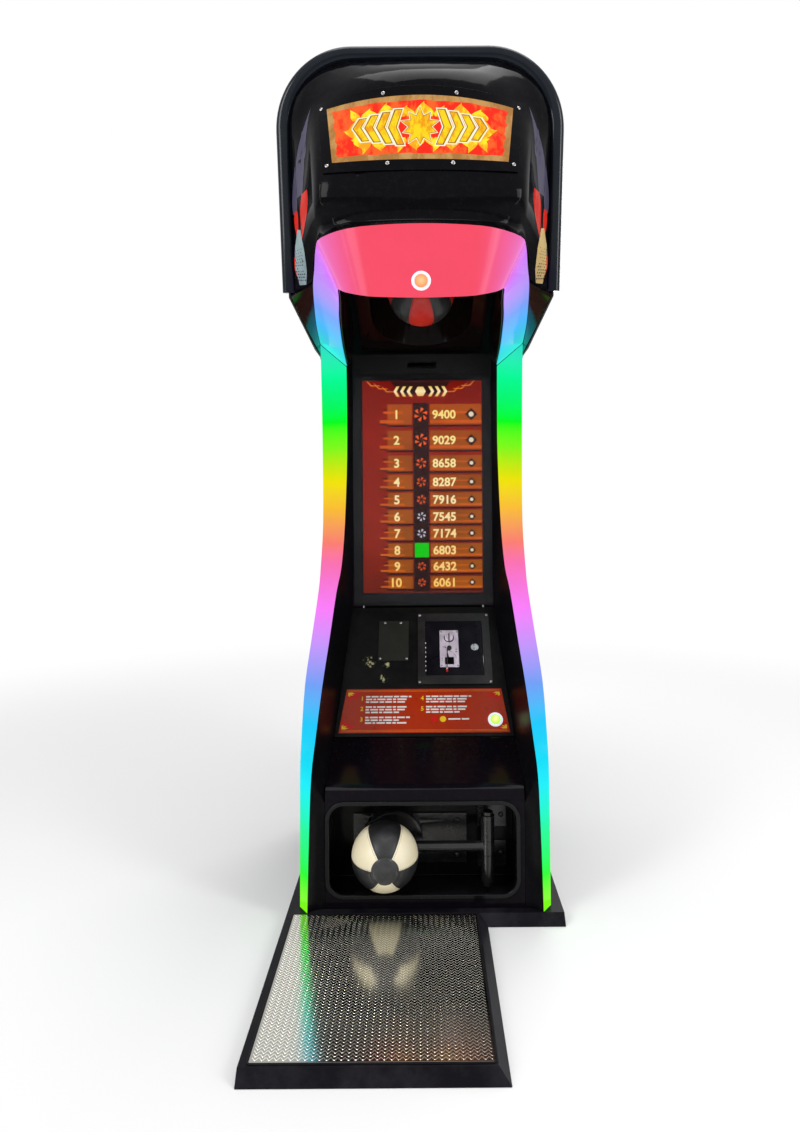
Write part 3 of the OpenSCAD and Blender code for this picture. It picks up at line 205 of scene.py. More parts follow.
lamp("lamp_left", (-2.6, -2.4, 2.6), (0, 0.1, 1.1), (1.0, 2.2), 60)
lamp("lamp_right", (2.9, -2.0, 2.2), (0, 0.1, 1.0), (0.9, 2.0), 42)
lamp("lamp_above", (0.2, -0.4, 4.2), (0, 0.2, 1.0), (2.4, 1.6), 55)
lamp("lamp_rear", (1.2, 3.2, 2.6), (0, 0.5, 1.2), (1.8, 1.4), 45)
lamp("lamp_edge_left", (-1.5, -0.9, 1.7), (-0.3, 0.1, 1.5), (0.05, 1.8), 3.0)
lamp("lamp_edge_right", (1.6, -1.1, 1.6), (0.3, 0.1, 1.5), (0.05, 1.8), 3.0)

camera = bpy.data.objects.new("camera", bpy.data.cameras.new("camera"))
scene.collection.objects.link(camera)
camera.data.sensor_fit = "AUTO"
camera.data.sensor_width = 36
camera.data.lens = 25.44
camera.data.shift_x = -0.020
camera.data.shift_y = -0.0605
camera.location = (0, -2.1, 1.117)
camera.rotation_euler = (
    Matrix.Rotation(math.pi / 2, 3, "X") @ Matrix.Rotation(math.radians(-0.4), 3, "Z")
).to_euler()
scene.camera = camera

# Base and platform. Welded steel plates with a bevelled free edge, powder
# coated black and scuffed by shoes.

scuffed_black = (0.004, 0.0035, 0.006, 1)
scuff_grey = (0.024, 0.023, 0.027, 1)


def add_bump(tree, shader, height, distance, strength):
    """Feeds a height into the shader's normal."""
    bump = node(tree, "Bump", Distance=distance, Strength=strength)
    tree.links.new(height, bump.inputs["Height"])
    link(tree, bump, "Normal", shader, "Normal")


def ramp(tree, value, stops, out):
    """A colour ramp from (position, colour) stops, between a value and a socket."""
    made = node(tree, "ValToRGB")
    while len(made.color_ramp.elements) < len(stops):
        made.color_ramp.elements.new(0.5)
    for element, (at, colour) in zip(made.color_ramp.elements, stops):
        element.position = at
        element.color = colour
    tree.links.new(value, made.inputs["Fac"])
    tree.links.new(made.outputs["Color"], out)
    return made


def clouded(name, stops, rough, cloud, **inputs):
    """A material whose colour and gloss follow noise of a scale, detail and roughness."""
    made, tree, shader = new_material(name, **inputs)
    place = node(tree, "TexCoord")
    scale, detail, broken = cloud
    clouds = node(tree, "TexNoise", Scale=scale, Detail=detail, Roughness=broken)
    gloss = node(tree, "MapRange", To_Min=rough[0], To_Max=rough[1])
    link(tree, place, "Object", clouds, "Vector")
    ramp(tree, clouds.outputs["Fac"], stops, shader.inputs["Base Color"])
    link(tree, clouds, "Fac", gloss, "Value")
    link(tree, gloss, "Result", shader, "Roughness")
    return made, tree, shader, place


def grained(name, stops, rough, cloud, grain, bump, **inputs):
    """A clouded material with a grain of some scale and detail pressed in its skin."""
    made, tree, shader, place = clouded(name, stops, rough, cloud, **inputs)
    fine = node(tree, "TexNoise", Scale=grain[0], Detail=grain[1])
    link(tree, place, "Object", fine, "Vector")
    add_bump(tree, shader, fine.outputs["Fac"], *bump)
    return made


def coated_metal(name, colour, worn, rough=0.42, grain=900.0, cloud=7.0, shine=0.2):
    """Powder coat: fine orange peel, cloudy dust and slightly uneven gloss."""
    return grained(name, ((0.45, colour), (0.85, worn)), (rough - 0.09, rough + 0.16),
                   (cloud, 8.0, 0.68), (grain, 2.0), (0.0003, 0.35), Specular_IOR_Level=shine)


def crisp(made, edge, angle=32):
    """Smooths a rigid piece's shading and rounds its sharp edges a little."""
    mesh = made.data
    work = bmesh.new()
    work.from_mesh(mesh)
    bmesh.ops.remove_doubles(work, verts=work.verts, dist=2e-5)
    bmesh.ops.dissolve_limit(
        work, angle_limit=math.radians(0.4), verts=work.verts, edges=work.edges)
    work.to_mesh(mesh)
    work.free()
    mesh.polygons.foreach_set("use_smooth", [True] * len(mesh.polygons))
    mesh.set_sharp_from_angle(angle=math.radians(angle))
    if edge:
        round_over = made.modifiers.new("round_over", "BEVEL")
        round_over.width = edge
        round_over.segments = 2
        round_over.limit_method = "ANGLE"
        round_over.angle_limit = math.radians(angle)
        round_over.use_clamp_overlap = True
        round_over.harden_normals = True


def dressed(cad_node, material, edge=0.0008, angle=32):
    """A finished copy of a CAD piece: rounded edges, smooth faces, its own coat."""
    source = frame["nodes"][cad_node]
    made = bpy.data.objects.new(cad_node + "_finished", source.data.copy())
    scene.collection.objects.link(made)
    made.data.materials.clear()
    made.data.materials.append(material)
    crisp(made, edge, angle)
    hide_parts(cad_node)
    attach(made, source["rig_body"])


floor_coat = coated_metal("scuffed_floor_coat", scuffed_black, scuff_grey, 0.38, 700.0, 9.0, 0.06)
dressed("base_frame", floor_coat, 0.0016)
dressed("platform_frame", floor_coat, 0.0016)

# Tread plate. Stainless sheet, pressed with rows of small slanted ribs so that
# shoes grip, screwed on the platform inside a black rubber border.

plate_low, plate_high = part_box("tread_plate")
rib_pitch_x = 0.0070
rib_pitch_y = 0.0100
rib_half = (0.0055, 0.0013)
rib_high = 0.0004
rib_lean = math.radians(55)
plate_rim = 0.004


def around(lower, upper, count):
    """Faces between two rings of points, from the number of each ring's first point."""
    return [(lower + k, lower + (k + 1) % count, upper + (k + 1) % count, upper + k)
            for k in range(count)]


def embossed_plate():
    """The sheet with a rolled edge and herringbone ribs raised from it."""
    x0, y0, z0 = plate_low
    x1, y1, z1 = plate_high
    top = z1 - rib_high
    points, faces = [], []

    def ring(inset, z):
        start = len(points)
        points.extend([(x0 + inset, y0 + inset, z), (x1 - inset, y0 + inset, z),
                       (x1 - inset, y1 - inset, z), (x0 + inset, y1 - inset, z)])
        return [start, start + 1, start + 2, start + 3]

    rings = [ring(0, z0), ring(0, top - 0.0005), ring(0.0005, top)]
    for a, b in zip(rings, rings[1:]):
        faces.extend(around(a[0], b[0], 4))
    faces.append(rings[0][::-1])
    faces.append(rings[-1])
    across = int((x1 - x0 - 2 * plate_rim) / rib_pitch_x)
    along = int((y1 - y0 - 2 * plate_rim) / rib_pitch_y)
    left = (x0 + x1 - (across - 1) * rib_pitch_x) / 2
    near = (y0 + y1 - (along - 1) * rib_pitch_y) / 2
    for i in range(across):
        lean = rib_lean if i % 2 else -rib_lean
        c, s = math.cos(lean), math.sin(lean)
        for j in range(along):
            cx = left + i * rib_pitch_x
            cy = near + j * rib_pitch_y
            start = len(points)
            for grow, z in ((1.0, top - 0.0001), (0.68, z1)):
                for u, v in ((-1, -1), (1, -1), (1, 1), (-1, 1)):
                    a = u * (rib_half[0] - (1 - grow) * rib_half[1])
                    b = v * rib_half[1] * grow
                    points.append((cx + a * c - b * s, cy + a * s + b * c, z))
            faces.append([start + k for k in (4, 5, 6, 7)])
            faces.extend(around(start, start + 4, 4))
    return plain_mesh("tread_plate_embossed", points, faces)


stainless, tree, shader = new_material("pressed_stainless", Metallic=1.0)
place = node(tree, "TexCoord")
stretch = node(tree, "Mapping", Scale=(1.0, 14.0, 1.0))
brushed = node(tree, "TexNoise", Scale=160.0, Detail=4.0)
smear = node(tree, "TexNoise", Scale=5.0, Detail=6.0, Roughness=0.6)
parts = node(tree, "SeparateXYZ")
rib_shade_and_highlight = node(tree, "MapRange", From_Min=plate_high.z - rib_high, From_Max=plate_high.z)
gloss = node(tree, "MapRange", To_Min=0.06, To_Max=0.24)
link(tree, place, "Object", stretch, "Vector")
link(tree, stretch, "Vector", brushed, "Vector")
link(tree, place, "Object", smear, "Vector")
link(tree, place, "Object", parts, "Vector")
link(tree, parts, "Z", rib_shade_and_highlight, "Value")
# Painted shade and highlight: the sheet is coloured dark grey down between the ribs and pale on
# their tops.
ramp(tree, rib_shade_and_highlight.outputs["Result"],
     ((0.15, (0.40, 0.395, 0.36, 1)), (0.85, (0.86, 0.84, 0.75, 1))), shader.inputs["Base Color"])
link(tree, smear, "Fac", gloss, "Value")
link(tree, gloss, "Result", shader, "Roughness")
add_bump(tree, shader, brushed.outputs["Fac"], 0.00008, 0.2)
tread = embossed_plate()
tread.data.materials.append(stainless)
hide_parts("tread_plate")
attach(tread, "cabinet")


def toned(colour, share):
    """A colour with each part made weaker or stronger."""
    return tuple(share * c for c in colour[:3]) + (1,)


def black_rubber(name, colour, rough, shine=0.3):
    """Moulded rubber: dull, finely pitted, dusty grey in places."""
    return grained(name, ((0.4, colour), (0.9, toned(colour, 3.2))), (rough - 0.08, rough + 0.1),
                   (22.0, 7.0, 0.7), (1400.0, 3.0), (0.0003, 0.4), Specular_IOR_Level=shine)


border_rubber = black_rubber("border_rubber", (0.006, 0.0055, 0.007, 1), 0.62, 0.1)
dressed("tread_border", border_rubber, 0.0005)

# Side panels. Black laminated board, cut to the cabinet's S shape, with a
# slight sheen.

laminate = grained(
    "black_laminate", ((0.0, (0.010, 0.010, 0.011, 1)), (1.0, (0.022, 0.022, 0.024, 1))),
    (0.24, 0.36), (3.0, 7.0, 0.6), (520.0, 3.0), (0.0002, 0.12),
    Coat_Weight=0.1, Coat_Roughness=0.18, Specular_IOR_Level=0.2)
for side in ("left", "right"):
    dressed("side_panel_" + side, laminate, 0.0009)

# Inner flanks. Vacuum formed gloss black mouldings on both sides of the
# screen and tray, tucked behind the light strips.


def gloss_moulding(name, colour, rough, wave=0.25, shine=0.1):
    """Gloss black plastic: shallow waves in the skin, faint dust and swirls."""
    dusty = tuple(c + 0.007 for c in colour[:3]) + (1,)
    return grained(name, ((0.5, colour), (1.0, dusty)), (rough - 0.03, rough + 0.07),
                   (60.0, 9.0, 0.72), (9.0, 2.0), (0.004, wave), Specular_IOR_Level=shine)


flank_gloss = gloss_moulding("flank_gloss", (0.003, 0.003, 0.004, 1), 0.30, shine=0.05)
for side in ("left", "right"):
    dressed("flank_" + side, flank_gloss, 0.0006, 40)

# Rear of the cabinet and the works inside. A coated steel panel with a service
# door on two pinned hinges, its cam lock and the power inlet; folded rails and
# beams, the boards' case and the cash box stand behind them.

plain_coat = coated_metal(
    "panel_coat", (0.014, 0.014, 0.015, 1), (0.035, 0.035, 0.036, 1), 0.36, 1100.0, 5.0)
for name in ("rear_panel", "rear_door", "cabinet_rails", "hood_floor", "hood_beams"):
    dressed(name, plain_coat, 0.0006)


def plated_metal(name, colour, rough, streak=60.0):
    """Plated or cast metal: bright, with faint streaks and darker handled spots."""
    return grained(name, ((0.3, toned(colour, 0.72)), (0.7, colour)), (rough - 0.06, rough + 0.12),
                   (streak, 6.0, 0.6), (1800.0, 2.0), (0.0001, 0.25), Metallic=1.0)


zinc = plated_metal("zinc_plate", (0.62, 0.63, 0.65, 1), 0.3)
dressed("rear_door_hinge", zinc, 0.0004)
dressed("rear_door_lock", zinc, 0.0003)
dressed("game_board_box", zinc, 0.0006)
dressed("cash_box", zinc, 0.0006)
inlet_black = black_rubber("inlet_black", (0.010, 0.010, 0.011, 1), 0.4)
dressed("power_inlet", inlet_black, 0.0006)

inlet_low, inlet_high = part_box("power_inlet")
inlet_mid = (inlet_low + inlet_high) / 2
pin_half = (0.0008, 0.0065, 0.0021)
pin_places = ((-0.0072, -0.0165), (0.0072, -0.0165), (0.0, -0.0085))


def boxes_mesh(name, boxes, material):
    """One mesh of plain blocks, each from its middle and half sizes, rounded a little."""
    points, faces = [], []
    for (cx, cy, cz), (hx, hy, hz) in boxes:
        start = len(points)
        points.extend([(cx + a * hx, cy + b * hy, cz + c * hz)
                       for c in (-1, 1) for a, b in ((-1, -1), (1, -1), (1, 1), (-1, 1))])
        faces.append([start + k for k in (3, 2, 1, 0)])
        faces.append([start + k for k in (4, 5, 6, 7)])
        faces.extend(around(start, start + 4, 4))
    return mesh_object(name, points, faces, material)


inlet_pins = boxes_mesh(
    "power_inlet_pins",
    [((inlet_mid.x + x, inlet_high.y - 0.0135, inlet_mid.z + 0.0005 + z), pin_half)
     for x, z in pin_places],
    plated_metal("inlet_pin_plate", (0.7, 0.68, 0.62, 1), 0.25))
crisp(inlet_pins, 0.0002)
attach(inlet_pins, "cabinet")

# Front moulding. One gloss black skin: the brow over the kick opening, the
# upright face, the deep tub behind the opening and a raised lip screwed round it.

front_gloss = gloss_moulding("front_gloss", (0.004, 0.003, 0.005, 1), 0.09, 0.2, 0.06)
dressed("front_moulding", front_gloss, 0.0008, 35)
lip_gloss = gloss_moulding("lip_gloss", (0.004, 0.004, 0.005, 1), 0.12, 0.1, 0.2)
dressed("recess_lip", lip_gloss, 0.0018, 35)
tub_gloss = gloss_moulding("tub_gloss", (0.004, 0.004, 0.005, 1), 0.16, 0.35)
dressed("recess_tub", tub_gloss, 0.003, 35)

# Kick target. A steel post turns in two sleeves bolted to the tub's back wall,
# and its arm carries a padded ball of sewn leather panels with a round cap.
# A rubber pad on the wall plate stops it.

arm_coat = coated_metal(
    "arm_coat", (0.008, 0.008, 0.009, 1), (0.030, 0.030, 0.030, 1), 0.16, 900.0, 14.0, 0.5)
for name in ("kick_bearings", "kick_arm", "kick_wall_plate"):
    dressed(name, arm_coat, 0.0008)

stitch_pitch = 0.0052
stitch_half = (0.0015, 0.00045, 0.00045)
seam_depth = 0.0016
seam_width = 0.0024
stitch_offset = 0.0034
skin_inset, cap_inset, panel_puff = 0.0009, 0.0004, 0.0008
panel_steps = 24


def ball_skin(theta, phi, radius, seams, cap_angle, twist):
    """The skin's distance from the ball's middle: puffed panels, sunk seams and cap."""
    turn = (phi - twist) % (2 * math.pi / seams)
    nearest = min(turn, 2 * math.pi / seams - turn)
    beside = nearest * math.sin(theta) * radius
    half_width = math.pi / seams * math.sin(theta) * radius + 1e-6
    out = radius - skin_inset
    out -= seam_depth * math.exp(-((beside / seam_width) ** 2))
    out += panel_puff * math.sin(min(1.0, beside / half_width) * math.pi / 2)
    past_cap = (theta - cap_angle) * radius
    if past_cap > 0:
        out -= seam_depth * math.exp(-((past_cap / seam_width) ** 2))
    else:
        out = radius - cap_inset - seam_depth * 0.9 * math.exp(-((past_cap / seam_width) ** 2))
    return out


def sewn_ball(name, centre, pole, upright, radius, seams, twist, cap_angle, leathers, cap, thread):
    """A padded ball of sewn panels: its skin, and the thread along each seam."""
    pole = Vector(pole).normalized()
    side = pole.cross(Vector(upright)).normalized()
    up = side.cross(pole)
    turns = seams * panel_steps
    rings = 96

    def at(theta, phi, out):
        return centre + out * (math.cos(theta) * pole + math.sin(theta)
                               * (math.cos(phi) * up + math.sin(phi) * side))

    points = [at(0, 0, radius - cap_inset)]
    for i in range(1, rings):
        theta = math.pi * i / rings
        for k in range(turns):
            phi = twist + 2 * math.pi * k / turns
            points.append(at(theta, phi, ball_skin(theta, phi, radius, seams, cap_angle, twist)))
    points.append(at(math.pi, 0, radius - 0.001))
    faces, kinds = [], []
    cap_rings = round(cap_angle / math.pi * rings)
    for k in range(turns):
        faces.append((0, 1 + k, 1 + (k + 1) % turns))
        kinds.append(len(leathers))
    for i in range(rings - 2):
        for k in range(turns):
            a = 1 + i * turns + k
            b = 1 + i * turns + (k + 1) % turns
            faces.append((a, a + turns, b + turns, b))
            panel = k // panel_steps % len(leathers)
            kinds.append(len(leathers) if i + 1 < cap_rings else panel)
    last = len(points) - 1
    for k in range(turns):
        a = 1 + (rings - 2) * turns + k
        b = 1 + (rings - 2) * turns + (k + 1) % turns
        faces.append((a, last, b))
        kinds.append(k // panel_steps % len(leathers))
    skin = mesh_object(name, points, faces)
    for leather in leathers + [cap]:
        skin.data.materials.append(leather)
    skin.data.polygons.foreach_set("material_index", kinds)
    skin.data.polygons.foreach_set("use_smooth", [True] * len(faces))
    stitches, stitch_faces = [], []

    def stitch(theta, phi, along):
        middle = at(theta, phi, ball_skin(theta, phi, radius, seams, cap_angle, twist) + 0.0001)
        out = (middle - centre).normalized()
        along = (along - along.dot(out) * out).normalized()
        across = out.cross(along)
        start = len(stitches)
        for a, b, c in ((-1, 0, -0.6), (-0.6, 1, 0), (0.6, 1, 0), (1, 0, -0.6),
                        (0.6, -1, 0), (-0.6, -1, 0), (-0.5, 0, 1), (0.5, 0, 1)):
            stitches.append(middle + a * stitch_half[0] * along + b * stitch_half[1] * across
                            + c * stitch_half[2] * out)
        stitch_faces.extend([(start + i for i in f) for f in (
            (0, 1, 6), (1, 2, 7, 6), (2, 3, 7), (3, 4, 7), (4, 5, 6, 7), (5, 0, 6))])

    per_seam = int((math.pi - 0.25 - cap_angle) * radius / stitch_pitch)
    for s in range(seams):
        for n in range(per_seam):
            theta = cap_angle + 0.06 + n * stitch_pitch / radius
            for sign in (-1, 1):
                phi = (twist + 2 * math.pi * s / seams
                       + sign * stitch_offset / (radius * math.sin(theta)))
                stitch(theta, phi, at(theta + 0.01, phi, radius) - at(theta, phi, radius))
    round_cap = int(2 * math.pi * math.sin(cap_angle) * radius / stitch_pitch)
    for n in range(round_cap):
        phi = 2 * math.pi * n / round_cap
        theta = cap_angle - stitch_offset / radius
        stitch(theta, phi, at(theta, phi + 0.01, radius) - at(theta, phi, radius))
    threads = mesh_object(name + "_thread", stitches, [tuple(f) for f in stitch_faces], thread)
    return skin, threads


def leather(name, colour, worn, rough=0.36):
    """Coated leather: fine creased grain, rubbed lighter where it is hit."""
    made, tree, shader, place = clouded(
        name, ((0.42, colour), (0.8, worn)), (rough - 0.08, rough + 0.16), (16.0, 8.0, 0.7),
        Coat_Weight=0.12, Coat_Roughness=0.25, Specular_IOR_Level=0.3)
    cells = node(tree, "TexVoronoi", Scale=480.0)
    creases = node(tree, "TexNoise", Scale=90.0, Detail=7.0, Roughness=0.65)
    height = node(tree, "Math", operation="MULTIPLY_ADD")
    height.inputs[1].default_value = 0.5
    for texture in (cells, creases):
        link(tree, place, "Object", texture, "Vector")
    link(tree, cells, "Distance", height, 0)
    link(tree, creases, "Fac", height, 2)
    add_bump(tree, shader, height.outputs["Value"], 0.0005, 0.45)
    return made


black_leather = leather("black_leather", (0.009, 0.009, 0.010, 1), (0.030, 0.030, 0.032, 1))
cream_leather = leather("cream_leather", (0.86, 0.76, 0.52, 1), (0.90, 0.83, 0.66, 1), 0.42)
cap_leather = leather("cap_leather", (0.020, 0.020, 0.022, 1), (0.06, 0.06, 0.062, 1), 0.3)
black_thread = black_rubber("black_thread", (0.02, 0.02, 0.022, 1), 0.7)
ball_low, ball_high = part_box("kick_ball")
kick_middle = (ball_low + ball_high) / 2
kick_radius = (ball_high.z - ball_low.z) / 2
kick_skin, kick_thread = sewn_ball(
    "kick_ball_skin", kick_middle, (0.05, -1, -0.05), (0, 0, 1), kick_radius, 6,
    math.radians(-30), 0.41, [black_leather, cream_leather] * 3, cap_leather, black_thread)
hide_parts("kick_ball")
for piece in (kick_skin, kick_thread):
    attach(piece, "kick_target")

# Tray. Sloping sheet steel, powder coated black, screwed between the flanks;
# it carries the instruction plate, a button, a cover plate and the coin door.

tray_foot = Vector((0, 0.247, 0.414))
tray_tilt = math.radians(48.2)
up_tray = Vector((0, math.cos(tray_tilt), math.sin(tray_tilt)))
off_tray = Vector((0, -math.sin(tray_tilt), math.cos(tray_tilt)))


def tray_point(x, v, w):
    """A place on the tray: across, up the slope and out of it."""
    return tray_foot + Vector((x, 0, 0)) + v * up_tray + w * off_tray


tray_coat = coated_metal(
    "tray_coat", (0.0035, 0.0032, 0.0032, 1), (0.012, 0.011, 0.010, 1), 0.34, 1000.0, 11.0, 0.08)
scraped = tray_coat.node_tree
bare = node(scraped, "Mix", data_type="RGBA")
bare.inputs[7].default_value = (0.52, 0.50, 0.26, 1)
place = node(scraped, "TexCoord")
flecks = node(scraped, "TexNoise", Scale=130.0, Detail=7.0, Roughness=0.75)
total = node(scraped, "Math", operation="ADD")
chipped = node(scraped, "MapRange", From_Min=0.60, From_Max=0.63)
link(scraped, place, "Object", flecks, "Vector")
worst = None
for x, v, reach in ((-0.170, 0.249, 0.046), (-0.116, 0.240, 0.028), (-0.126, 0.192, 0.032)):
    away = node(scraped, "VectorMath", operation="DISTANCE")
    away.inputs[1].default_value = tray_point(x, v, 0.0)
    near = node(scraped, "MapRange", From_Max=reach, To_Min=0.15, To_Max=-0.20)
    link(scraped, place, "Object", away, 0)
    link(scraped, away, "Value", near, "Value")
    if worst is None:
        worst = near.outputs["Result"]
    else:
        both = node(scraped, "Math", operation="MAXIMUM")
        scraped.links.new(worst, both.inputs[0])
        link(scraped, near, "Result", both, 1)
        worst = both.outputs["Value"]
scraped.links.new(worst, total.inputs[0])
link(scraped, flecks, "Fac", total, 1)
link(scraped, total, "Value", chipped, "Value")
link(scraped, chipped, "Result", bare, 0)
sound_coat = scraped.nodes["Principled BSDF"].inputs["Base Color"]
scraped.links.new(sound_coat.links[0].from_socket, bare.inputs[6])
scraped.links.new(bare.outputs[2], sound_coat)
dressed("tray_panel", tray_coat, 0.0006)
dressed("cover_plate", coated_metal(
    "cover_coat", (0.011, 0.011, 0.008, 1), (0.020, 0.020, 0.016, 1), 0.4, 900.0, 9.0, 0.2), 0.0004)

# Instruction plate. Printed sheet metal across the tray's lower edge: rust
# orange with thin border lines, corner flashes, numbered bars and two discs.

ink_mottle = 0.12


def printed(name, colour, rough=0.3):
    """Printing ink: a flat colour with slight mottling."""
    return clouded(name, ((0.25, toned(colour, 1 - ink_mottle)), (0.75, colour)),
                   (rough - 0.05, rough + 0.12), (38.0, 6.0, 0.65), Specular_IOR_Level=0.14)[0]


def print_on(name, shapes, put, material, body):
    """Flat printed shapes, each a loop of places, put on a surface point by point."""
    points, faces = [], []
    for shape in shapes:
        turning = sum(a[0] * b[1] - b[0] * a[1] for a, b in zip(shape, shape[1:] + shape[:1]))
        faces.append(tuple(range(len(points), len(points) + len(shape))))
        points.extend(tuple(put(a, b)) for a, b in (shape if turning > 0 else shape[::-1]))
    made = plain_mesh(name, points, faces)
    made.data.materials.append(material)
    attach(made, body)


def bar(x, v, w, h, lean=0.0):
    """A rectangle from its lower left corner, leaning to the right if wanted."""
    return [(x, v), (x + w, v), (x + w + lean, v + h), (x + lean, v + h)]


def disc(x, v, r, sides=40):
    """A round spot."""
    return [(x + r * math.cos(2 * math.pi * k / sides), v + r * math.sin(2 * math.pi * k / sides))
            for k in range(sides)]


def numeral(digits, x, v, height, bold=0.0):
    """Outlines of plain digits, cut into flat faces, from the lower left corner."""
    curve = bpy.data.curves.new("numeral", "FONT")
    curve.body = digits
    curve.offset = bold
    curve.size = height / 0.69
    curve.resolution_u = 4
    made = bpy.data.objects.new("numeral", curve)
    scene.collection.objects.link(made)
    mesh = made.evaluated_get(bpy.context.evaluated_depsgraph_get()).to_mesh()
    shapes = []
    for face in mesh.polygons:
        loop = [(x + mesh.vertices[i].co.x, v + mesh.vertices[i].co.y) for i in face.vertices]
        shapes.append(loop if face.normal.z > 0 else loop[::-1])
    made.to_mesh_clear()
    bpy.data.objects.remove(made)
    bpy.data.curves.remove(curve)
    return shapes


rust_ink = printed("rust_ink", (0.400, 0.026, 0.002, 1), 0.26)
dressed("instruction_plate", rust_ink, 0.0003)
plate_low_v = 0.013
ink_w = 0.00155


def plate_half(v):
    """Half the plate's width at a height up the slope, less the printed margin."""
    return 0.250 - (v - plate_low_v) * 0.1175


def plate_print(name, shapes, ink, colour, lift=0.0):
    """Ink of one colour on the instruction plate, a hair above its face."""
    print_on(name, shapes, lambda x, v: tray_point(x, v, ink_w + lift),
             printed(ink, colour), "cabinet")


amber_lines = [
    [(-plate_half(v) + 0.004, v), (plate_half(v) - 0.004, v),
     (plate_half(v) - 0.004, v + 0.0014), (-plate_half(v) + 0.004, v + 0.0014)]
    for v in (0.0170, 0.0210, 0.1470, 0.1510)]
fans = {"red": [], "yellow": []}
for side in (-1, 1):
    for low in (True, False):
        v0 = 0.0250 if low else 0.1445
        rise = 1 if low else -1
        x0 = side * (plate_half(v0) - 0.004)
        for k in range(6):
            a0, a1 = math.radians(15 * k - 2), math.radians(15 * k + 17)
            far = 0.046 if k % 2 else 0.034
            flash = [(x0, v0),
                     (x0 - side * far * math.cos(a0), v0 + rise * 0.72 * far * math.sin(a0)),
                     (x0 - side * 0.7 * far * math.cos(a1), v0 + rise * 0.5 * far * math.sin(a1))]
            fans["red"].append(flash)
            fans["yellow"].append([(x0 + 0.45 * (x - x0), v0 + 0.45 * (v - v0)) for x, v in flash])
steps = [(-0.192, 0.118), (-0.192, 0.084), (-0.192, 0.050), (-0.010, 0.118), (-0.010, 0.084)]
word_rows = ((0.013, 0.021, 0.009, 0.027, 0.016, 0.022, 0.008, 0.014),
             (0.019, 0.008, 0.025, 0.015, 0.010, 0.028, 0.017),
             (0.010, 0.024, 0.014, 0.020, 0.009, 0.023, 0.012))
step_digits, step_bars = [], []
for n, (x, v) in enumerate(steps):
    step_digits.extend(numeral(str(n + 1), x, v, 0.013, 0.0004))
    for row in range(3):
        at = x + 0.016
        for w in word_rows[(row + n) % 3]:
            if at + w < x + (0.158 if row == 0 else 0.140):
                step_bars.append(bar(at, v + 0.0098 - 0.0088 * row, w, 0.0050))
            at += w + 0.0036
plate_print("plate_lines", amber_lines, "amber_ink", (0.75, 0.16, 0.015, 1))
plate_print("plate_red", fans["red"] + [disc(0.030, 0.056, 0.0095)],
            "scarlet_ink", (0.60, 0.010, 0.008, 1))
plate_print("plate_yellow", fans["yellow"] + step_digits + [disc(0.056, 0.056, 0.0095)],
            "yellow_ink", (0.85, 0.55, 0.02, 1), 0.0001)
plate_print("plate_white", step_bars + [bar(0.072, 0.0535, 0.036, 0.0050),
                                        bar(0.112, 0.0535, 0.022, 0.0050)],
            "white_ink", (0.78, 0.77, 0.74, 1))

# Kick button. A lit push button at the right of the instruction plate: white
# plastic ring clamped by a nut under the tray, with a clear yellow-green lens.

ring_spread = 26.0
lens_radius, ring_radius = 0.015, 0.0225


def lit_plastic(name, middle, rim, glow, centre, radius, axis):
    """Coloured plastic that glows, brighter in the middle, with soft rings inside; over a small
    lamp in the lens, and as painted glow in the ring.
    """
    made, tree, shader = new_material(
        name, Base_Color=toned(rim, 0.5), Roughness=0.12, Coat_Weight=0.5, Emission_Strength=glow)
    place = node(tree, "TexCoord")
    from_middle = node(tree, "VectorMath", operation="SUBTRACT")
    from_middle.inputs[1].default_value = centre
    flat = node(tree, "VectorMath", operation="CROSS_PRODUCT")
    flat.inputs[1].default_value = axis
    reach = node(tree, "VectorMath", operation="LENGTH")
    spread = node(tree, "MapRange", From_Min=0.0, From_Max=radius)
    ribs = node(tree, "Math", operation="SINE")
    tighter = node(tree, "Math", operation="MULTIPLY")
    tighter.inputs[1].default_value = ring_spread
    link(tree, place, "Object", from_middle, 0)
    link(tree, from_middle, "Vector", flat, 0)
    link(tree, flat, "Vector", reach, 0)
    link(tree, reach, "Value", spread, "Value")
    ramp(tree, spread.outputs["Result"], ((0.0, middle), (1.0, rim)),
         shader.inputs["Emission Color"])
    link(tree, spread, "Result", tighter, 0)
    link(tree, tighter, "Value", ribs, 0)
    add_bump(tree, shader, ribs.outputs["Value"], 0.0003, 0.16)
    return made


def turned(name, profile, origin, axis, material, turns=64):
    """A piece turned round an axis from (radius, height) points, closed at both ends."""
    axis = Vector(axis).normalized()
    side = axis.orthogonal().normalized()
    other = axis.cross(side)
    points, faces = [], []
    for r, h in profile:
        for k in range(turns):
            a = 2 * math.pi * k / turns
            points.append(
                Vector(origin) + h * axis + r * (math.cos(a) * side + math.sin(a) * other))
    for i in range(len(profile) - 1):
        faces.extend(around(i * turns, (i + 1) * turns, turns))
    faces.append(tuple(range(turns))[::-1])
    faces.append(tuple((len(profile) - 1) * turns + k for k in range(turns)))
    made = mesh_object(name, points, faces, material)
    made.data.polygons.foreach_set("use_smooth", [True] * len(faces))
    made.data.set_sharp_from_angle(angle=math.radians(35))
    return made


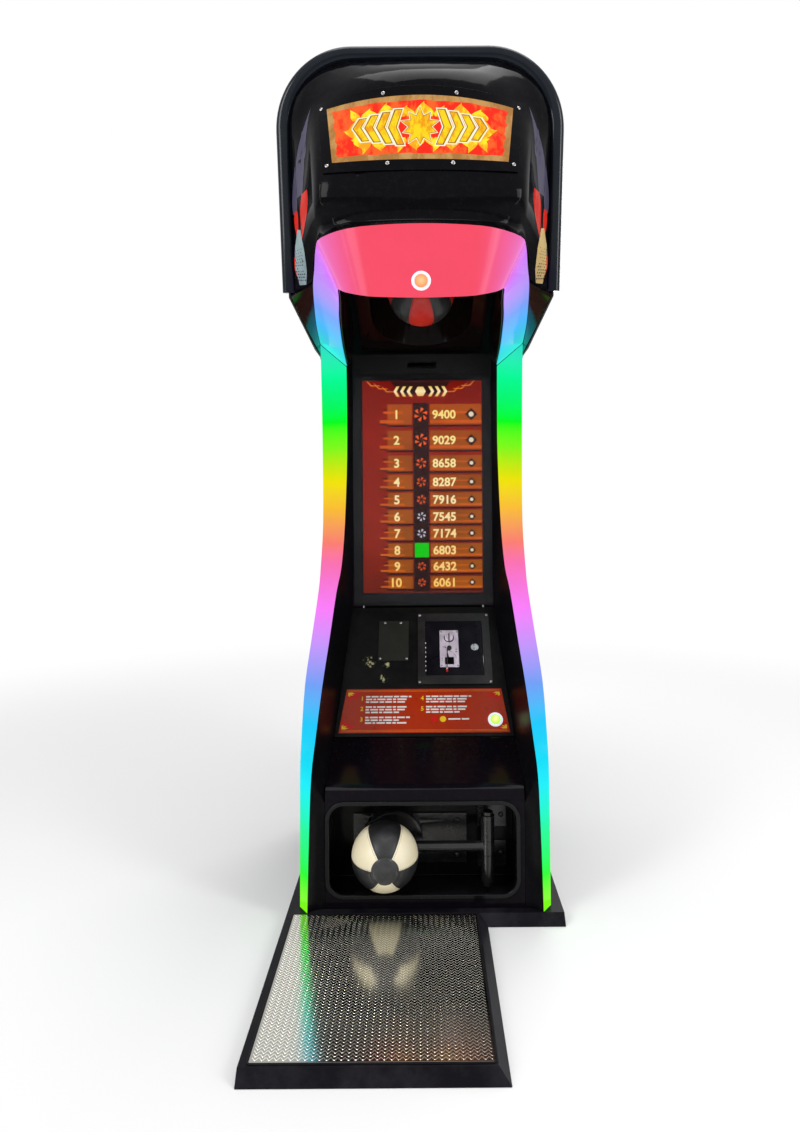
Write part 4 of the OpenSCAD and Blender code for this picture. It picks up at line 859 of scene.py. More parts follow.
def start_button(kind, origin, axis, middle, rim, glow):
    """Lens and ring of a start button whose ring stands on a panel at the origin."""
    lens_colour = lit_plastic(kind + "_lens_plastic", middle, rim, glow, origin, lens_radius, axis)
    lens = turned(
        kind + "_button_lens",
        [(0.0004, -0.015), (0.0049, -0.015), (0.0049, -0.0027), (0.0146, -0.0026),
         (0.0149, -0.0022), (0.0149, 0.0056), (0.0142, 0.0066), (0.0120, 0.0071),
         (0.0070, 0.0073), (0.0004, 0.0073)],
        origin, axis, lens_colour)
    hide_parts(kind + "_button")
    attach(lens, kind + "_button")
    # Painted glow: the white ring is given a faint pale blue glow of its own.
    ring_painted_glow = lit_plastic(
        kind + "_ring_painted_glow", (0.80, 0.86, 1.0, 1), (0.86, 0.90, 1.0, 1), 0.55,
        origin, ring_radius, axis)
    dressed(kind + "_button_housing", ring_painted_glow, 0.0013)


start_button("kick", tray_point(0.212, 0.0524, 0.0012), off_tray,
             (0.95, 1.0, 0.30, 1), (0.45, 0.85, 0.05, 1), 0.9)

# Coin door. Steel door in a flanged frame, hung on a pin at its left, with a
# cast selector plate, a return lever on a rod and a cam lock.

frame_coat = coated_metal(
    "door_frame_coat", (0.011, 0.010, 0.010, 1), (0.030, 0.028, 0.026, 1), 0.32, 420.0, 16.0, 0.25)
door_coat = coated_metal(
    "door_coat", (0.0040, 0.0034, 0.0058, 1), (0.011, 0.010, 0.014, 1), 0.26, 700.0, 16.0, 0.09)
dressed("coin_door_frame", frame_coat, 0.0012)
dressed("coin_door", door_coat, 0.0010)
selector_cast = plated_metal("selector_cast", (0.80, 0.70, 0.80, 1), 0.42, 45.0)
dressed("coin_selector", selector_cast, 0.0009)
lever_black = coated_metal(
    "lever_black", (0.012, 0.012, 0.013, 1), (0.09, 0.085, 0.08, 1), 0.28, 900.0, 60.0)
tipped = lever_black.node_tree
tip = node(tipped, "Mix", data_type="RGBA")
along_tray = node(tipped, "VectorMath", operation="DOT_PRODUCT")
along_tray.inputs[1].default_value = up_tray
tip_from = tray_foot.dot(up_tray) + 0.216
in_tip = node(tipped, "MapRange", From_Min=tip_from - 0.006, From_Max=tip_from + 0.004)
above = node(tipped, "Math", operation="GREATER_THAN")
above.inputs[1].default_value = tip_from + 0.0035
place = node(tipped, "TexCoord")
link(tipped, place, "Object", along_tray, 0)
link(tipped, along_tray, "Value", in_tip, "Value")
link(tipped, along_tray, "Value", above, 0)
link(tipped, above, "Value", tip, 0)
knob = ramp(tipped, in_tip.outputs["Result"],
            ((0.0, (0.70, 0.012, 0.006, 1)), (0.5, (0.80, 0.74, 0.64, 1))), tip.inputs[6])
knob.color_ramp.interpolation = "CONSTANT"
rod_coat = tipped.nodes["Principled BSDF"].inputs["Base Color"]
tipped.links.new(rod_coat.links[0].from_socket, tip.inputs[7])
tipped.links.new(tip.outputs[2], rod_coat)
dressed("coin_return_lever", lever_black, 0.0003)
lock_chrome = plated_metal("lock_chrome", (0.56, 0.55, 0.53, 1), 0.26, 80.0)
dressed("coin_door_lock", lock_chrome, 0.0003)
screw_plate = plated_metal("screw_plate", (0.40, 0.38, 0.38, 1), 0.3, 80.0)
dressed("panel_screws", screw_plate, 0.0002)
plate_w = 0.0074
selector_at = (0.081, 0.294)


def on_selector(w):
    """Puts shapes drawn from the selector's middle on a plane of its face plate."""
    return lambda x, v: tray_point(selector_at[0] + x, selector_at[1] + v, w)


def selector_print(name, shapes, lift, ink):
    """Painted shade on the selector's casting, flat, at a height over its face plate."""
    print_on(name, shapes, on_selector(plate_w + lift), ink, "coin_door")


# Painted shade: flat black in the coin slot's throat, the return opening, round the coin cup and
# under the flap, and darker grey marks along the casting's edges.
slot_painted_shade = printed("slot_painted_shade", (0.004, 0.004, 0.004, 1), 0.1)
cast_painted_shade = printed("cast_painted_shade", (0.16, 0.12, 0.16, 1), 0.1)
selector_print("coin_slot_throat", [bar(-0.00155, 0.0222, 0.0031, 0.0316)], 0.0030, slot_painted_shade)
selector_print("return_opening", [bar(-0.0138, -0.0568, 0.0276, 0.0256)], -0.0026, slot_painted_shade)
cup = []
for k in range(18):
    pair = []
    for r in (0.0134, 0.0158):
        for a in (math.pi * (1 + k / 18), math.pi * (1 + (k + 1) / 18)):
            pair.append((r * math.cos(a), 0.038 + r * math.sin(a)))
    cup.append([pair[0], pair[1], pair[3], pair[2]])
cup += [bar(x, 0.038, 0.0024, 0.009) for x in (-0.0158, 0.0134)]
selector_print("slot_cup_shade", cup, 0.0002, slot_painted_shade)
selector_print(
    "selector_shade_marks",
    [bar(-0.022, 0.004, 0.011, 0.0022, 0.002), bar(-0.014, 0.0015, 0.005, 0.0030),
     bar(-0.024, -0.037, 0.004, 0.0028), bar(-0.024, -0.044, 0.0026, 0.0026),
     bar(0.019, -0.014, 0.0048, 0.004), bar(0.020, -0.006, 0.0030, 0.0050)],
    0.0002, cast_painted_shade)
guide = []
for k in range(10):
    a, b = math.radians(78 - 7 * k), math.radians(78 - 7 * (k + 1))
    guide.append([(-0.012 + r * math.cos(t), -0.040 + r * math.sin(t))
                  for r, t in ((0.0330, a), (0.0330, b), (0.0340, b), (0.0340, a))])
selector_print("coin_guide_edge_shade", guide, 0.0002, cast_painted_shade)
selector_print("flap_shadow", [[(-0.0085, -0.054), (0.0015, -0.054), (-0.0015, -0.036),
                                (-0.0035, -0.020), (-0.0065, -0.020), (-0.0068, -0.036)]],
               0.0004, slot_painted_shade)
screw_profile = [(0.0002, 0.0), (0.0034, 0.0), (0.0033, 0.0007), (0.0026, 0.0014),
                 (0.0015, 0.0018), (0.0014, 0.0011), (0.0002, 0.0011)]
screw_places = [(x, v) for x in (-0.0252, 0.0252) for v in (-0.0620, 0.0610)]
for number, (x, v) in enumerate(screw_places, 1):
    head = turned("selector_screw_%d" % number, screw_profile,
                  on_selector(plate_w)(x, v), off_tray, screw_plate, 20)
    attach(head, "coin_door")

# Screen. An upright monitor behind a black surround, under tinted cover glass
# with a small dark sensor window above it; the picture is a score table.

surround_coat = coated_metal(
    "surround_coat", (0.008, 0.008, 0.009, 1), (0.020, 0.020, 0.021, 1), 0.4, 900.0, 6.0)
dressed("screen_surround", surround_coat, 0.0005)
case_black = black_rubber("screen_case_black", (0.010, 0.010, 0.011, 1), 0.5)
dressed("screen_panel", case_black, 0.0008)

glass, tree, shader = new_material(
    "tinted_glass", Transmission_Weight=1.0, IOR=1.14, Base_Color=(0.90, 0.90, 0.93, 1))
place = node(tree, "TexCoord")
smears = node(tree, "TexNoise", Scale=7.0, Detail=9.0, Roughness=0.7)
gloss = node(tree, "MapRange", From_Min=0.45, From_Max=0.85, To_Min=0.004, To_Max=0.03)
link(tree, place, "Object", smears, "Vector")
link(tree, smears, "Fac", gloss, "Value")
link(tree, gloss, "Result", shader, "Roughness")
dressed("screen_glass", glass, 0.0008)

screen_low, screen_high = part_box("screen_panel")
picture_y = screen_low.y
picture_x = 0.199
picture_z = (screen_low.z + 0.014, screen_high.z - 0.014)
table_z = (0.8, 1.42)
layer_step = 0.00005


def on_screen(x, z):
    """A place on the picture, just in front of the monitor's face."""
    return Vector((x, picture_y, z))


def evenly(*colours):
    """Stops of a blend that runs evenly through its colours."""
    return [(k / (len(colours) - 1), colour) for k, colour in enumerate(colours)]


def lit_picture(name, stops, glow=1.0, reach=table_z, speckle=0.0):
    """Screen colours that change with height, with the fine rows of the pixels."""
    made, tree, shader = new_material(
        name, Base_Color=(0.004, 0.004, 0.004, 1), Roughness=0.3, Specular_IOR_Level=0.1)
    place = node(tree, "TexCoord")
    parts = node(tree, "SeparateXYZ")
    height = node(tree, "MapRange", From_Min=reach[0], From_Max=reach[1])
    cloud = node(tree, "TexNoise", Scale=11.0, Detail=5.0)
    uneven = node(tree, "MapRange", To_Min=glow * (1 - speckle), To_Max=glow * (1 + speckle))
    rows = node(tree, "TexWave", Scale=160.0, Distortion=0.0)
    rows.bands_direction = "Z"
    level = node(tree, "MapRange", To_Min=0.86, To_Max=1.0)
    power = node(tree, "Math", operation="MULTIPLY")
    for texture in (cloud, rows):
        link(tree, place, "Object", texture, "Vector")
    link(tree, place, "Object", parts, "Vector")
    link(tree, parts, "Z", height, "Value")
    ramp(tree, height.outputs["Result"], [(at, colour + (1,)) for at, colour in stops],
         shader.inputs["Emission Color"])
    link(tree, cloud, "Fac", uneven, "Value")
    link(tree, rows, "Fac", level, "Value")
    link(tree, uneven, "Result", power, 0)
    link(tree, level, "Result", power, 1)
    link(tree, power, "Value", shader, "Emission Strength")
    return made


def layered(name, shapes, layer, material):
    """Picture shapes on the screen; each layer lies a hair in front of the last."""
    print_on(name, shapes, lambda x, z: on_screen(x, z) - Vector((0, layer_step * layer, 0)),
             material, "cabinet")


back_stops = [(0.0, (0.16, 0.012, 0.004)), (0.3, (0.27, 0.016, 0.006)),
              (0.75, (0.30, 0.010, 0.002)), (1.0, (0.20, 0.004, 0.001))]
layered("screen_image", [bar(-picture_x, picture_z[0], 2 * picture_x, picture_z[1] - picture_z[0])],
        1, lit_picture("picture_back", back_stops, 1.0, picture_z, 0.35))
row_heights = [1.395, 1.309, 1.232, 1.169, 1.110, 1.053, 0.997, 0.941, 0.887, 0.833]
row_halves = [0.034, 0.032, 0.026, 0.0235, 0.023, 0.022, 0.022, 0.022, 0.021, 0.020]
dark_shapes = [bar(-0.030, 0.803, 0.052, 0.631)]
for z, half in zip(row_heights, row_halves):
    dark_shapes += [bar(-0.120, z - half - 0.0075, 0.318, 0.0060),
                    bar(-0.145, z - half, 0.030, 0.004),
                    bar(-0.135, z + half * 0.45, 0.020, 0.003)]
dark_shapes.append([(-0.105, 1.506), (0.095, 1.506), (0.062, 1.462), (-0.072, 1.462)])
layered("screen_shade", dark_shapes, 2,
        lit_picture("picture_shade", evenly((0.020, 0.006, 0.005), (0.028, 0.006, 0.006)),
                    reach=(0.8, 1.5)))
band_stops = evenly((0.36, 0.085, 0.004), (0.33, 0.080, 0.004), (0.40, 0.070, 0.004))
bands, glints = [], []
for z, half in zip(row_heights, row_halves):
    for x, w in ((-0.116, 0.082), (0.026, 0.172)):
        bands.append(bar(x, z - half, w, 2 * half))
        glints += [bar(x - (0.026 if x < 0 else 0), z - half * 0.86, w, half * 0.30),
                   bar(x - (0.014 if x < 0 else 0), z + half * 0.10, w * 0.8, half * 0.18)]
layered("screen_bands", bands, 3, lit_picture("picture_bands", band_stops, speckle=0.4))
layered("screen_glints", glints, 4,
        lit_picture("picture_glints", evenly((0.62, 0.12, 0.006), (0.66, 0.10, 0.006)),
                    speckle=0.4))
digit_stops = evenly((1.0, 0.62, 0.12), (1.0, 0.86, 0.42), (1.0, 0.80, 0.22))
layered("screen_places",
        [s for n, z in enumerate(row_heights)
         for s in numeral(str(n + 1), -0.096 if n < 9 else -0.112, z - 0.014, 0.028, 0.0011)]
        + [s for n, z in enumerate(row_heights)
           for s in numeral(str(9400 - 371 * n), 0.034, z - 0.0135, 0.027, 0.0011)],
        5, lit_picture("picture_digits", digit_stops, 1.05))
emblem = []
for z, half in zip(row_heights, row_halves):
    emblem += [disc(0.164, z, half * 0.62, 4), disc(0.164, z, half * 0.25, 12)]
layered("screen_emblems", emblem[::2], 5,
        lit_picture("picture_emblems", evenly((0.030, 0.012, 0.010), (0.035, 0.012, 0.010))))
layered("screen_emblem_eyes", emblem[1::2], 6,
        lit_picture("picture_eyes", evenly((0.95, 0.80, 0.55), (1.0, 0.85, 0.6)), 0.9))
tiles, tiles_in_row = [], 6
for z, half in zip(row_heights, row_halves):
    tiles += [[(-0.004 + half * 0.62 * math.cos(a), z + half * 0.62 * math.sin(a)),
               (-0.004 + half * 0.70 * math.cos(a + 0.5), z + half * 0.70 * math.sin(a + 0.5)),
               (-0.004 + half * 0.22 * math.cos(a + 0.9), z + half * 0.22 * math.sin(a + 0.9))]
              for a in (math.pi * k / 3 for k in range(tiles_in_row))]
layered("screen_marks", tiles[:5 * tiles_in_row] + tiles[8 * tiles_in_row:], 5,
        lit_picture("picture_marks", evenly((0.95, 0.10, 0.01), (1.0, 0.12, 0.01))))
layered("screen_pale_marks", tiles[5 * tiles_in_row:7 * tiles_in_row], 5,
        lit_picture("picture_pale_marks", evenly((0.60, 0.58, 0.66), (0.75, 0.72, 0.78))))
layered("screen_green", [bar(-0.027, row_heights[7] - 0.024, 0.047, 0.048)], 6,
        lit_picture("picture_green", evenly((0.0, 0.62, 0.0), (0.0, 0.65, 0.0))))
wings = []
for side in (-1, 1):
    for k in range(3):
        x, z = side * (0.084 + 0.026 * k) - 0.005, 1.470 + 0.010 * k
        wings += [[(x, z), (x + side * 0.030, z), (x + side * 0.045, z + 0.018),
                   (x + side * 0.043, z + 0.018), (x + side * 0.028, z + 0.003), (x, z + 0.002)]]
layered("screen_wings", wings, 3,
        lit_picture("picture_wings", evenly((1.0, 0.14, 0.0), (1.0, 0.26, 0.02)),
                    1.0, (1.43, 1.50), 0.2))
crest = [[(x - 0.009, 1.455), (x + 0.001, 1.472), (x - 0.009, 1.489), (x + 0.001, 1.489),
          (x + 0.011, 1.472), (x + 0.001, 1.455)] for x in (0.022 * k + 0.030 for k in range(3))]
crest += [[(-0.010 - x, z) for x, z in shape] for shape in crest]
layered("screen_crest", crest + [disc(-0.005, 1.472, 0.018, 6)], 4,
        lit_picture(
            "picture_crest", evenly((1.0, 0.50, 0.01), (1.0, 0.85, 0.50), (1.0, 0.62, 0.05)),
            1.05, (1.453, 1.491)))

# Light strips. Opal diffusers up both front edges of the cabinet, over tapes of
# small lamps whose colour drifts along the strip.


def linear(red, green, blue):
    """A display colour, 0 to 1 in each part, as light."""
    return tuple(c / 12.92 if c <= 0.04045 else ((c + 0.055) / 1.055) ** 2.4
                 for c in (red, green, blue))


def opal(name, axis, low, high, colours, glow, pitch):
    """Milky plastic lit from behind: colour by place, soft spots over each lamp."""
    made, tree, shader = new_material(
        name, Base_Color=(0.0, 0.0, 0.0, 1), Roughness=0.14, Specular_IOR_Level=0.07)
    place = node(tree, "TexCoord")
    parts = node(tree, "SeparateXYZ")
    along = node(tree, "MapRange", From_Min=low, From_Max=high)
    stops = [((at - low) / (high - low), linear(*colour) + (1,)) for at, colour in colours]
    spots = node(tree, "TexWave", Scale=1 / pitch / 20, Distortion=0.4)
    spots.bands_direction = axis
    haze = node(tree, "TexNoise", Scale=14.0, Detail=7.0, Roughness=0.62)
    level = node(tree, "MapRange", To_Min=glow * 0.96, To_Max=glow)
    veil = node(tree, "MapRange", From_Min=0.3, From_Max=0.75, To_Min=0.95, To_Max=1.0)
    power = node(tree, "Math", operation="MULTIPLY")
    grain = node(tree, "TexNoise", Scale=900.0, Detail=2.0)
    for texture in (spots, haze, grain):
        link(tree, place, "Object", texture, "Vector")
    link(tree, place, "Object", parts, "Vector")
    link(tree, parts, axis, along, "Value")
    ramp(tree, along.outputs["Result"], stops, shader.inputs["Emission Color"])
    link(tree, spots, "Fac", level, "Value")
    link(tree, haze, "Fac", veil, "Value")
    link(tree, level, "Result", power, 0)
    link(tree, veil, "Result", power, 1)
    link(tree, power, "Value", shader, "Emission Strength")
    add_bump(tree, shader, grain.outputs["Fac"], 0.0002, 0.15)
    return made


lime, green, mint = (0.5, 1.0, 0.1), (0.0, 1.0, 0.1), (0.0, 1.0, 0.6)
aqua, sky, periwinkle = (0.0, 0.95, 1.0), (0.1, 0.8, 1.0), (0.45, 0.65, 1.0)
lilac, orchid, rose = (0.75, 0.6, 1.0), (1.0, 0.5, 1.0), (1.0, 0.45, 0.7)
coral, amber, yellow = (1.0, 0.5, 0.45), (1.0, 0.75, 0.2), (0.95, 0.9, 0.0)
azure, turquoise = (0.3, 0.75, 1.0), (0.2, 0.9, 0.8)
strip_colours = [
    (0.06, lime), (0.12, green), (0.23, mint), (0.36, aqua), (0.51, sky), (0.60, periwinkle),
    (0.68, lilac), (0.78, orchid), (0.91, rose), (0.97, coral), (1.08, amber), (1.17, yellow),
    (1.28, lime), (1.36, green), (1.50, mint), (1.60, turquoise)]
strip_opal = opal("strip_opal", "Z", 0.0, 1.62, strip_colours, 1.0, 0.033)
for side in ("left", "right"):
    dressed("light_strip_" + side, strip_opal, 0.0009, 50)
tape_white = opal("tape_white", "Z", 0.0, 1.62, strip_colours, 0.5, 0.017)
dressed("led_strips", tape_white, 0.0)

# Hood light. One deep opal diffuser under the visor, pink in front and running
# back through violet to blue where it meets the cabinet's strips.

raspberry, fuchsia, violet = (1.0, 0.32, 0.42), (0.95, 0.45, 0.75), (0.85, 0.5, 1.0)
hood_colours = [
    (-0.26, raspberry), (-0.20, fuchsia), (-0.14, violet), (-0.05, lilac), (0.08, periwinkle),
    (0.22, azure), (0.46, turquoise)]
hood_opal = opal("hood_opal", "Y", -0.28, 0.48, hood_colours, 1.0, 0.05)
dressed("hood_light", hood_opal, 0.0012, 50)
button_low, button_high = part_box("punch_button_housing")
button_mid = (button_low + button_high) / 2
start_button("punch", Vector((button_mid.x, button_low.y + 0.0043, button_mid.z)), (0, -1, 0),
             (1.0, 0.62, 0.30, 1), (0.95, 0.22, 0.06, 1), 0.85)

# Cavity. Deep gloss liner behind the hood light, almost black with a wine red
# cast, with a sloping ceiling and the round well that hides the punch ball.

cavity_gloss = gloss_moulding("cavity_gloss", (0.006, 0.003, 0.003, 1), 0.11, 0.5)
dressed("cavity_liner", cavity_gloss, 0.0008, 50)

# Punch target. A padded ball of red and dark grey leather panels on a steel arm,
# hung on a shaft between two bearings; a gear motor lifts it against a bumper.

for name in ("punch_bearings", "punch_arm"):
    dressed(name, arm_coat, 0.0008)
dressed("punch_lift_motor", zinc, 0.0008)
bumper_rubber = black_rubber("bumper_rubber", (0.014, 0.014, 0.014, 1), 0.55)
dressed("punch_bumper", bumper_rubber, 0.0015)
red_leather = leather("red_leather", (0.56, 0.016, 0.010, 1), (0.70, 0.06, 0.04, 1), 0.32)
grey_leather = leather("grey_leather", (0.020, 0.020, 0.021, 1), (0.055, 0.055, 0.055, 1), 0.34)
olive_leather = leather("olive_leather", (0.050, 0.048, 0.038, 1), (0.09, 0.088, 0.072, 1), 0.38)
grey_thread = black_rubber("grey_thread", (0.05, 0.05, 0.048, 1), 0.7)
punch_middle = Vector((0, 0.29475, 1.73097))
arm_droop = math.radians(12)
along_arm = Vector((0, math.cos(arm_droop), -math.sin(arm_droop)))
punch_radius = 0.100
neck_flat = 0.0851
punch_skin, punch_thread = sewn_ball(
    "punch_ball_skin", punch_middle, -along_arm, (0, 0, 1), punch_radius, 8,
    math.radians(-22.5), 0.60,
    [red_leather, grey_leather] * 4, olive_leather, grey_thread)
for piece in (punch_skin, punch_thread):
    for vertex in piece.data.vertices:
        towards_pivot = -(vertex.co - punch_middle).dot(along_arm)
        if towards_pivot > neck_flat:
            vertex.co += (towards_pivot - neck_flat) * along_arm
    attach(piece, "punch_target")
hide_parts("punch_ball")

# Hood. A textured black shell with a rear cover, closed below by dark soffits;
# the loudspeakers hang inside on its side walls.

shell_coat = coated_metal(
    "shell_texture", (0.013, 0.013, 0.014, 1), (0.028, 0.028, 0.029, 1), 0.44, 520.0, 4.0)
dressed("hood_shell", shell_coat, 0.0012, 40)
dressed("hood_rear_cover", shell_coat, 0.0012, 40)
soffit_gloss = gloss_moulding("soffit_gloss", (0.008, 0.006, 0.006, 1), 0.14, 0.3)
dressed("hood_soffits", soffit_gloss, 0.0004, 50)
speaker_cone = black_rubber("speaker_cone", (0.012, 0.012, 0.013, 1), 0.6)
dressed("loudspeakers", speaker_cone, 0.001)

# Hood trim and visor. A gloss slate black edge moulding runs round the hood's
# mouth; the visor inside it is one gloss black moulding with printed cheeks.

trim_gloss = gloss_moulding("trim_gloss", (0.005, 0.008, 0.013, 1), 0.1, 0.08, 0.2)
mouth_foot = 1.649
trim_foot = Vector((0, -0.030, mouth_foot))
trim_lean = math.radians(11.7)
bead = [(-0.0003, 0.058), (-0.0135, 0.058), (-0.015, 0.0565), (-0.015, 0.024)]
bead += [(0.002 - 0.017 * math.cos(math.radians(a)), 0.012 - 0.012 * math.sin(math.radians(a)))
         for a in range(4, 181, 11)]
bead += [(0.019, 0.012), (-0.0003, 0.012)]


def hood_edge(inset):
    """The hood's mouth seen from the front, from left foot to right foot, drawn in."""
    half, top, corner = 0.345 - inset, 2.209 - inset, 0.176 - inset
    line = [(-half, mouth_foot + (top - corner - mouth_foot) * k / 9) for k in range(9)]
    line += [(-half + corner * (1 - math.cos(a)), top - corner * (1 - math.sin(a)))
             for a in (math.radians(90 * k / 20) for k in range(21))]
    line += [(x * (half - corner), top) for x in (-0.6, -0.2)]
    return line + [(-x, z) for x, z in reversed(line)]


trim_rows = list(zip(*[hood_edge(inset) for inset, _ in bead]))
trim_points, trim_faces = [], []
for row in trim_rows:
    for (x, z), (_, behind) in zip(row, bead):
        z = max(z, trim_foot.z + behind * math.sin(trim_lean))
        trim_points.append(
            (x, trim_foot.y - (z - trim_foot.z) * math.tan(trim_lean) + behind, z))
n = len(bead)
for i in range(len(trim_rows) - 1):
    trim_faces += around(i * n, (i + 1) * n, n)
trim_faces += [tuple(range(n)), tuple(range((len(trim_rows) - 1) * n, len(trim_rows) * n))]
trim_piece = mesh_object("hood_trim_bead", trim_points, trim_faces, trim_gloss)
crisp(trim_piece, 0.0035, 45)
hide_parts("hood_trim")
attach(trim_piece, "cabinet")
visor_gloss = gloss_moulding("visor_gloss", (0.002, 0.002, 0.003, 1), 0.08, 0.22, 0.06)
dressed("hood_nose", visor_gloss, 0.0, 60)
decal_lift = 0.0003
visor_view = bmesh.new()
visor_view.from_mesh(frame["nodes"]["hood_nose"].data)
visor_tree = bvhtree.BVHTree.FromBMesh(visor_view)
visor_view.free()


def split_fine(corners, longest, rounds):
    """A flat outline cut in triangles, whose edges are halved while they are too long."""
    work = bmesh.new()
    work.faces.new([work.verts.new(corner) for corner in corners])
    bmesh.ops.triangulate(work, faces=work.faces)
    for _ in range(rounds):
        long_edges = [e for e in work.edges if e.calc_length() > longest]
        if long_edges:
            bmesh.ops.subdivide_edges(work, edges=long_edges, cuts=1)
            bmesh.ops.triangulate(work, faces=work.faces)
    return work


def cheek_print(name, shapes, material, layer=1):
    """Thin printed film pressed on the visor's cheeks, from shapes seen from in front."""
    points, faces = [], []
    for shape in shapes:
        work = split_fine([(x, 0, z) for x, z in shape], longest=0.006, rounds=3)
        work.verts.index_update()
        places = []
        for corner in work.verts:
            hit, normal, _, _ = visor_tree.ray_cast(Vector((corner.co.x, -1.0, corner.co.z)),
                                                    Vector((0, 1, 0)))
            places.append(None if hit is None else hit + normal * (decal_lift * layer))
        start = len(points)
        kept = {}
        for index, place in enumerate(places):
            if place is not None:
                kept[index] = start + len(kept)
                points.append(place)
        faces.extend([tuple(kept[v.index] for v in face.verts) for face in work.faces
                      if all(v.index in kept for v in face.verts)])
        work.free()
    made = mesh_object(name, points, faces, material)
    work = bmesh.new()
    work.from_mesh(made.data)
    bmesh.ops.reverse_faces(work, faces=[face for face in work.faces if face.normal.y > 0])
    work.to_mesh(made.data)
    work.free()
    made.data.polygons.foreach_set("use_smooth", [True] * len(faces))
    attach(made, "cabinet")


def blade(x, z, reach, wide, lean, side):
    """A curved leaf from its foot: reach up or down, widest low down, bent sideways."""
    left, right = [], []
    for k in range(13):
        t = k / 12
        bend = lean * t * t
        half = wide * math.sin(math.pi * min(1.0, 0.18 + 0.82 * t)) * (1 - 0.55 * t)
        left.append((x + side * (bend - half), z + reach * t))
        right.append((x + side * (bend + half), z + reach * t))
    loop = left + right[::-1]
    return loop if side > 0 else loop[::-1]


slate_shapes, red_shapes, dark_dots = [], [], []
patches = {-1: [], 1: []}
for side in (-1, 1):
    slate_shapes += [blade(side * 0.300, 1.868, 0.200, 0.0165, -0.034, side),
                     blade(side * 0.317, 1.835, 0.110, 0.0100, -0.006, side),
                     blade(side * 0.286, 1.945, 0.075, 0.0110, 0.004, side),
                     blade(side * 0.318, 1.720, 0.075, 0.0090, -0.010, side)]
    red_shapes += [blade(side * 0.285, 1.868, -0.105, 0.0165, 0.014, side),
                   blade(side * 0.314, 1.840, -0.075, 0.0080, -0.004, side),
                   blade(side * 0.321, 1.735, -0.060, 0.0065, -0.006, side)]
    patches[side].append([(side * x, z) for x, z in (
        (0.297, 1.670), (0.314, 1.668), (0.322, 1.705), (0.320, 1.760),
        (0.311, 1.795), (0.301, 1.790), (0.294, 1.745), (0.293, 1.700))])
    for row in range(11):
        for column in range(4):
            x = 0.2985 + 0.0056 * column + (0.0028 if row % 2 else 0) + 0.0004 * row
            dark_dots.append(disc(side * x, 1.680 + 0.0068 * row, 0.0019 - 0.00009 * row, 8))
slate_ink = printed("slate_ink", (0.062, 0.056, 0.098, 1), 0.16)
cheek_red = printed("cheek_red", (0.62, 0.018, 0.008, 1), 0.16)
cheek_print("cheek_slate", slate_shapes, slate_ink)
cheek_print("cheek_red", red_shapes, cheek_red, 2)
cheek_print("cheek_grey_patch", patches[-1], printed("grey_ink", (0.27, 0.36, 0.38, 1), 0.16), 3)
cheek_print("cheek_tan_patch", patches[1], printed("tan_ink", (0.58, 0.42, 0.17, 1), 0.16), 3)
cheek_print("cheek_dots", dark_dots, printed("dot_ink", (0.010, 0.010, 0.014, 1), 0.16), 4)

# Marquee. A curved plate screwed on the visor; its window holds a printed film
# lit from behind: red and orange field, slanted gold bars and a tan border.

dressed("marquee_plate", visor_gloss, 0.0006, 50)
warm_white = (1.0, 0.95, 0.85)
lamp_white = opal(
    "lamp_white", "X", -0.25, 0.25, [(-0.25, warm_white), (0.25, warm_white)], 0.6, 0.03)
dressed("marquee_lamp", lamp_white, 0.0005)
film_low, film_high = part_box("marquee_panel")
film_mid = (film_low.z + film_high.z) / 2
film_half = (film_high.z - film_low.z) / 2
film_hw = (0.2057, 0.2227)
film_front = -0.2579
bow_foot, bow_low, bow_rise, bow_half = 1.850, 0.012, 0.37037, 0.25
ink_lift = 0.0002


def backlit(name, inner, outer, glow, scale, split):
    """Film lit from behind: two inks that meet in a ragged, cloudy edge."""
    made, tree, shader = new_material(
        name, Base_Color=(0.006, 0.004, 0.003, 1), Roughness=0.18, Specular_IOR_Level=0.08,
        Emission_Strength=glow)
    place = node(tree, "TexCoord")
    stretch = node(tree, "Mapping", Scale=(1.0, 0.1, 0.6))
    cloud = node(tree, "TexNoise", Scale=scale, Detail=9.0, Roughness=0.66)
    link(tree, place, "Object", stretch, "Vector")
    link(tree, stretch, "Vector", cloud, "Vector")
    ramp(tree, cloud.outputs["Fac"], ((split - 0.05, inner), (split + 0.06, outer)),
         shader.inputs["Emission Color"])
    return made


tan_film = backlit("tan_film", (0.44, 0.20, 0.05, 1), (0.62, 0.34, 0.11, 1), 0.95, 20.0, 0.5)
dressed("marquee_panel", tan_film, 0.0002, 50)


def on_film(x, z, lift):
    """A place on the curved film's face, which widens and bows more towards its
    top; heights are taken from its middle, x as for its mean width."""
    up = z / film_half
    wide = x * (1 + up * (film_hw[1] - film_hw[0]) / (film_hw[0] + film_hw[1]))
    bow = bow_low + bow_rise * (film_mid + z - bow_foot)
    return Vector((wide, film_front + bow * (wide / bow_half) ** 2 - lift, film_mid + z))


def film_print(name, shapes, layer, material):
    """Ink on the film; each layer lies a hair in front of the last one."""
    cut = []
    for shape in shapes:
        work = split_fine([(x, z, 0) for x, z in shape], longest=0.014, rounds=5)
        cut += [[(v.co.x, v.co.y) for v in face.verts] for face in work.faces]
        work.free()
    print_on(name, cut, lambda x, z: on_film(x, z, ink_lift + ink_lift * layer), material,
             "cabinet")


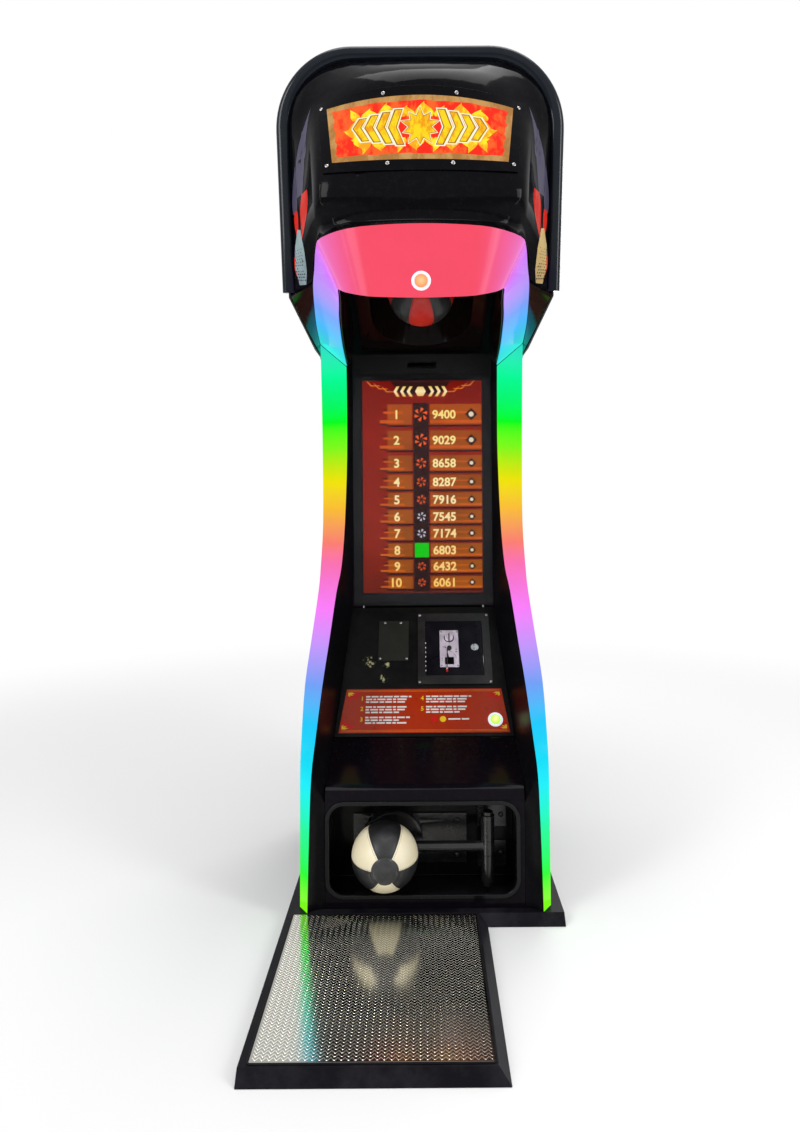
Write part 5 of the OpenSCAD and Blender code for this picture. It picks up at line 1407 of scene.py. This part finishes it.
field_half = ((film_hw[0] + film_hw[1]) / 2 - 0.010, film_half - 0.010)
ragged = []
for k in range(120):
    t = 4 * k / 120
    edge, along = int(t), 2 * (t - int(t)) - 1
    corner = ((along, -1), (1, along), (-along, 1), (-1, -along))[edge]
    shake = 1 - 0.035 * abs(math.sin(11.3 * t)) - 0.03 * abs(math.sin(23.7 * t + 1))
    ragged.append((corner[0] * field_half[0] * (0.5 + shake / 2),
                   corner[1] * field_half[1] * shake))
film_print("marquee_field", [ragged], 0,
           backlit("red_film", (1.0, 0.022, 0.008, 1), (1.0, 0.13, 0.020, 1), 1.0, 30.0, 0.52))
flames = []
for k in range(15):
    x = -0.147 + 0.021 * k
    for up in (-1, 1):
        lean = (0.010, -0.012, 0.014, -0.008)[(k + (up > 0)) % 4]
        reach = 0.022 + 0.0045 * ((3 * k + 2 * (up > 0)) % 4)
        flames.append(blade(x, up * 0.024, up * reach, 0.0135, lean, 1))
for side in (-1, 1):
    for z, reach, wide, lean in ((-0.008, 0.040, 0.017, 0.012), (0.016, 0.026, 0.011, -0.010),
                                 (-0.026, 0.024, 0.010, 0.006)):
        flames.append([(side * q, p) for p, q in blade(z, 0.140, reach, wide, lean, 1)])
film_print("marquee_flames", flames, 1,
           backlit("flame_film", (1.0, 0.86, 0.02, 1), (1.0, 0.40, 0.01, 1), 1.0, 45.0, 0.47))


def burst(grow):
    """A star with ten short points in the middle, and bent bars that lead out from it."""
    star = []
    for k in range(20):
        far = (0.046 if k % 4 == 0 else 0.041) if k % 2 == 0 else 0.026
        star.append(((far + grow) * math.sin(math.pi * k / 10),
                     (far + grow) * math.cos(math.pi * k / 10)))
    shapes = [star]
    for side in (-1, 1):
        for k in range(4):
            x, half = 0.052 + 0.0275 * k, 0.041 - 0.0045 * k + grow
            wide = 0.0085 + 1.2 * grow
            shapes.append([(side * p, z) for p, z in (
                (x - wide - 0.004, half), (x + wide - 0.004, half),
                (x + wide + 0.013, 0.002 * k), (x + wide - 0.006, -half),
                (x - wide - 0.006, -half), (x - wide + 0.011, 0.002 * k))])
    return shapes


film_print("marquee_halo", burst(0.0034), 2,
           backlit("pale_film", (1.0, 0.95, 0.60, 1), (1.0, 0.98, 0.86, 1), 1.0, 50.0, 0.5))
film_print("marquee_edges", burst(0.0008), 3,
           backlit("bronze_film", (0.42, 0.20, 0.01, 1), (0.30, 0.12, 0.01, 1), 1.0, 50.0, 0.5))
film_print("marquee_burst", burst(-0.0014), 4,
           backlit("gold_film", (1.0, 0.72, 0.01, 1), (0.93, 0.36, 0.005, 1), 1.0, 55.0, 0.53))

# The box of the finished machine.

low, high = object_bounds()
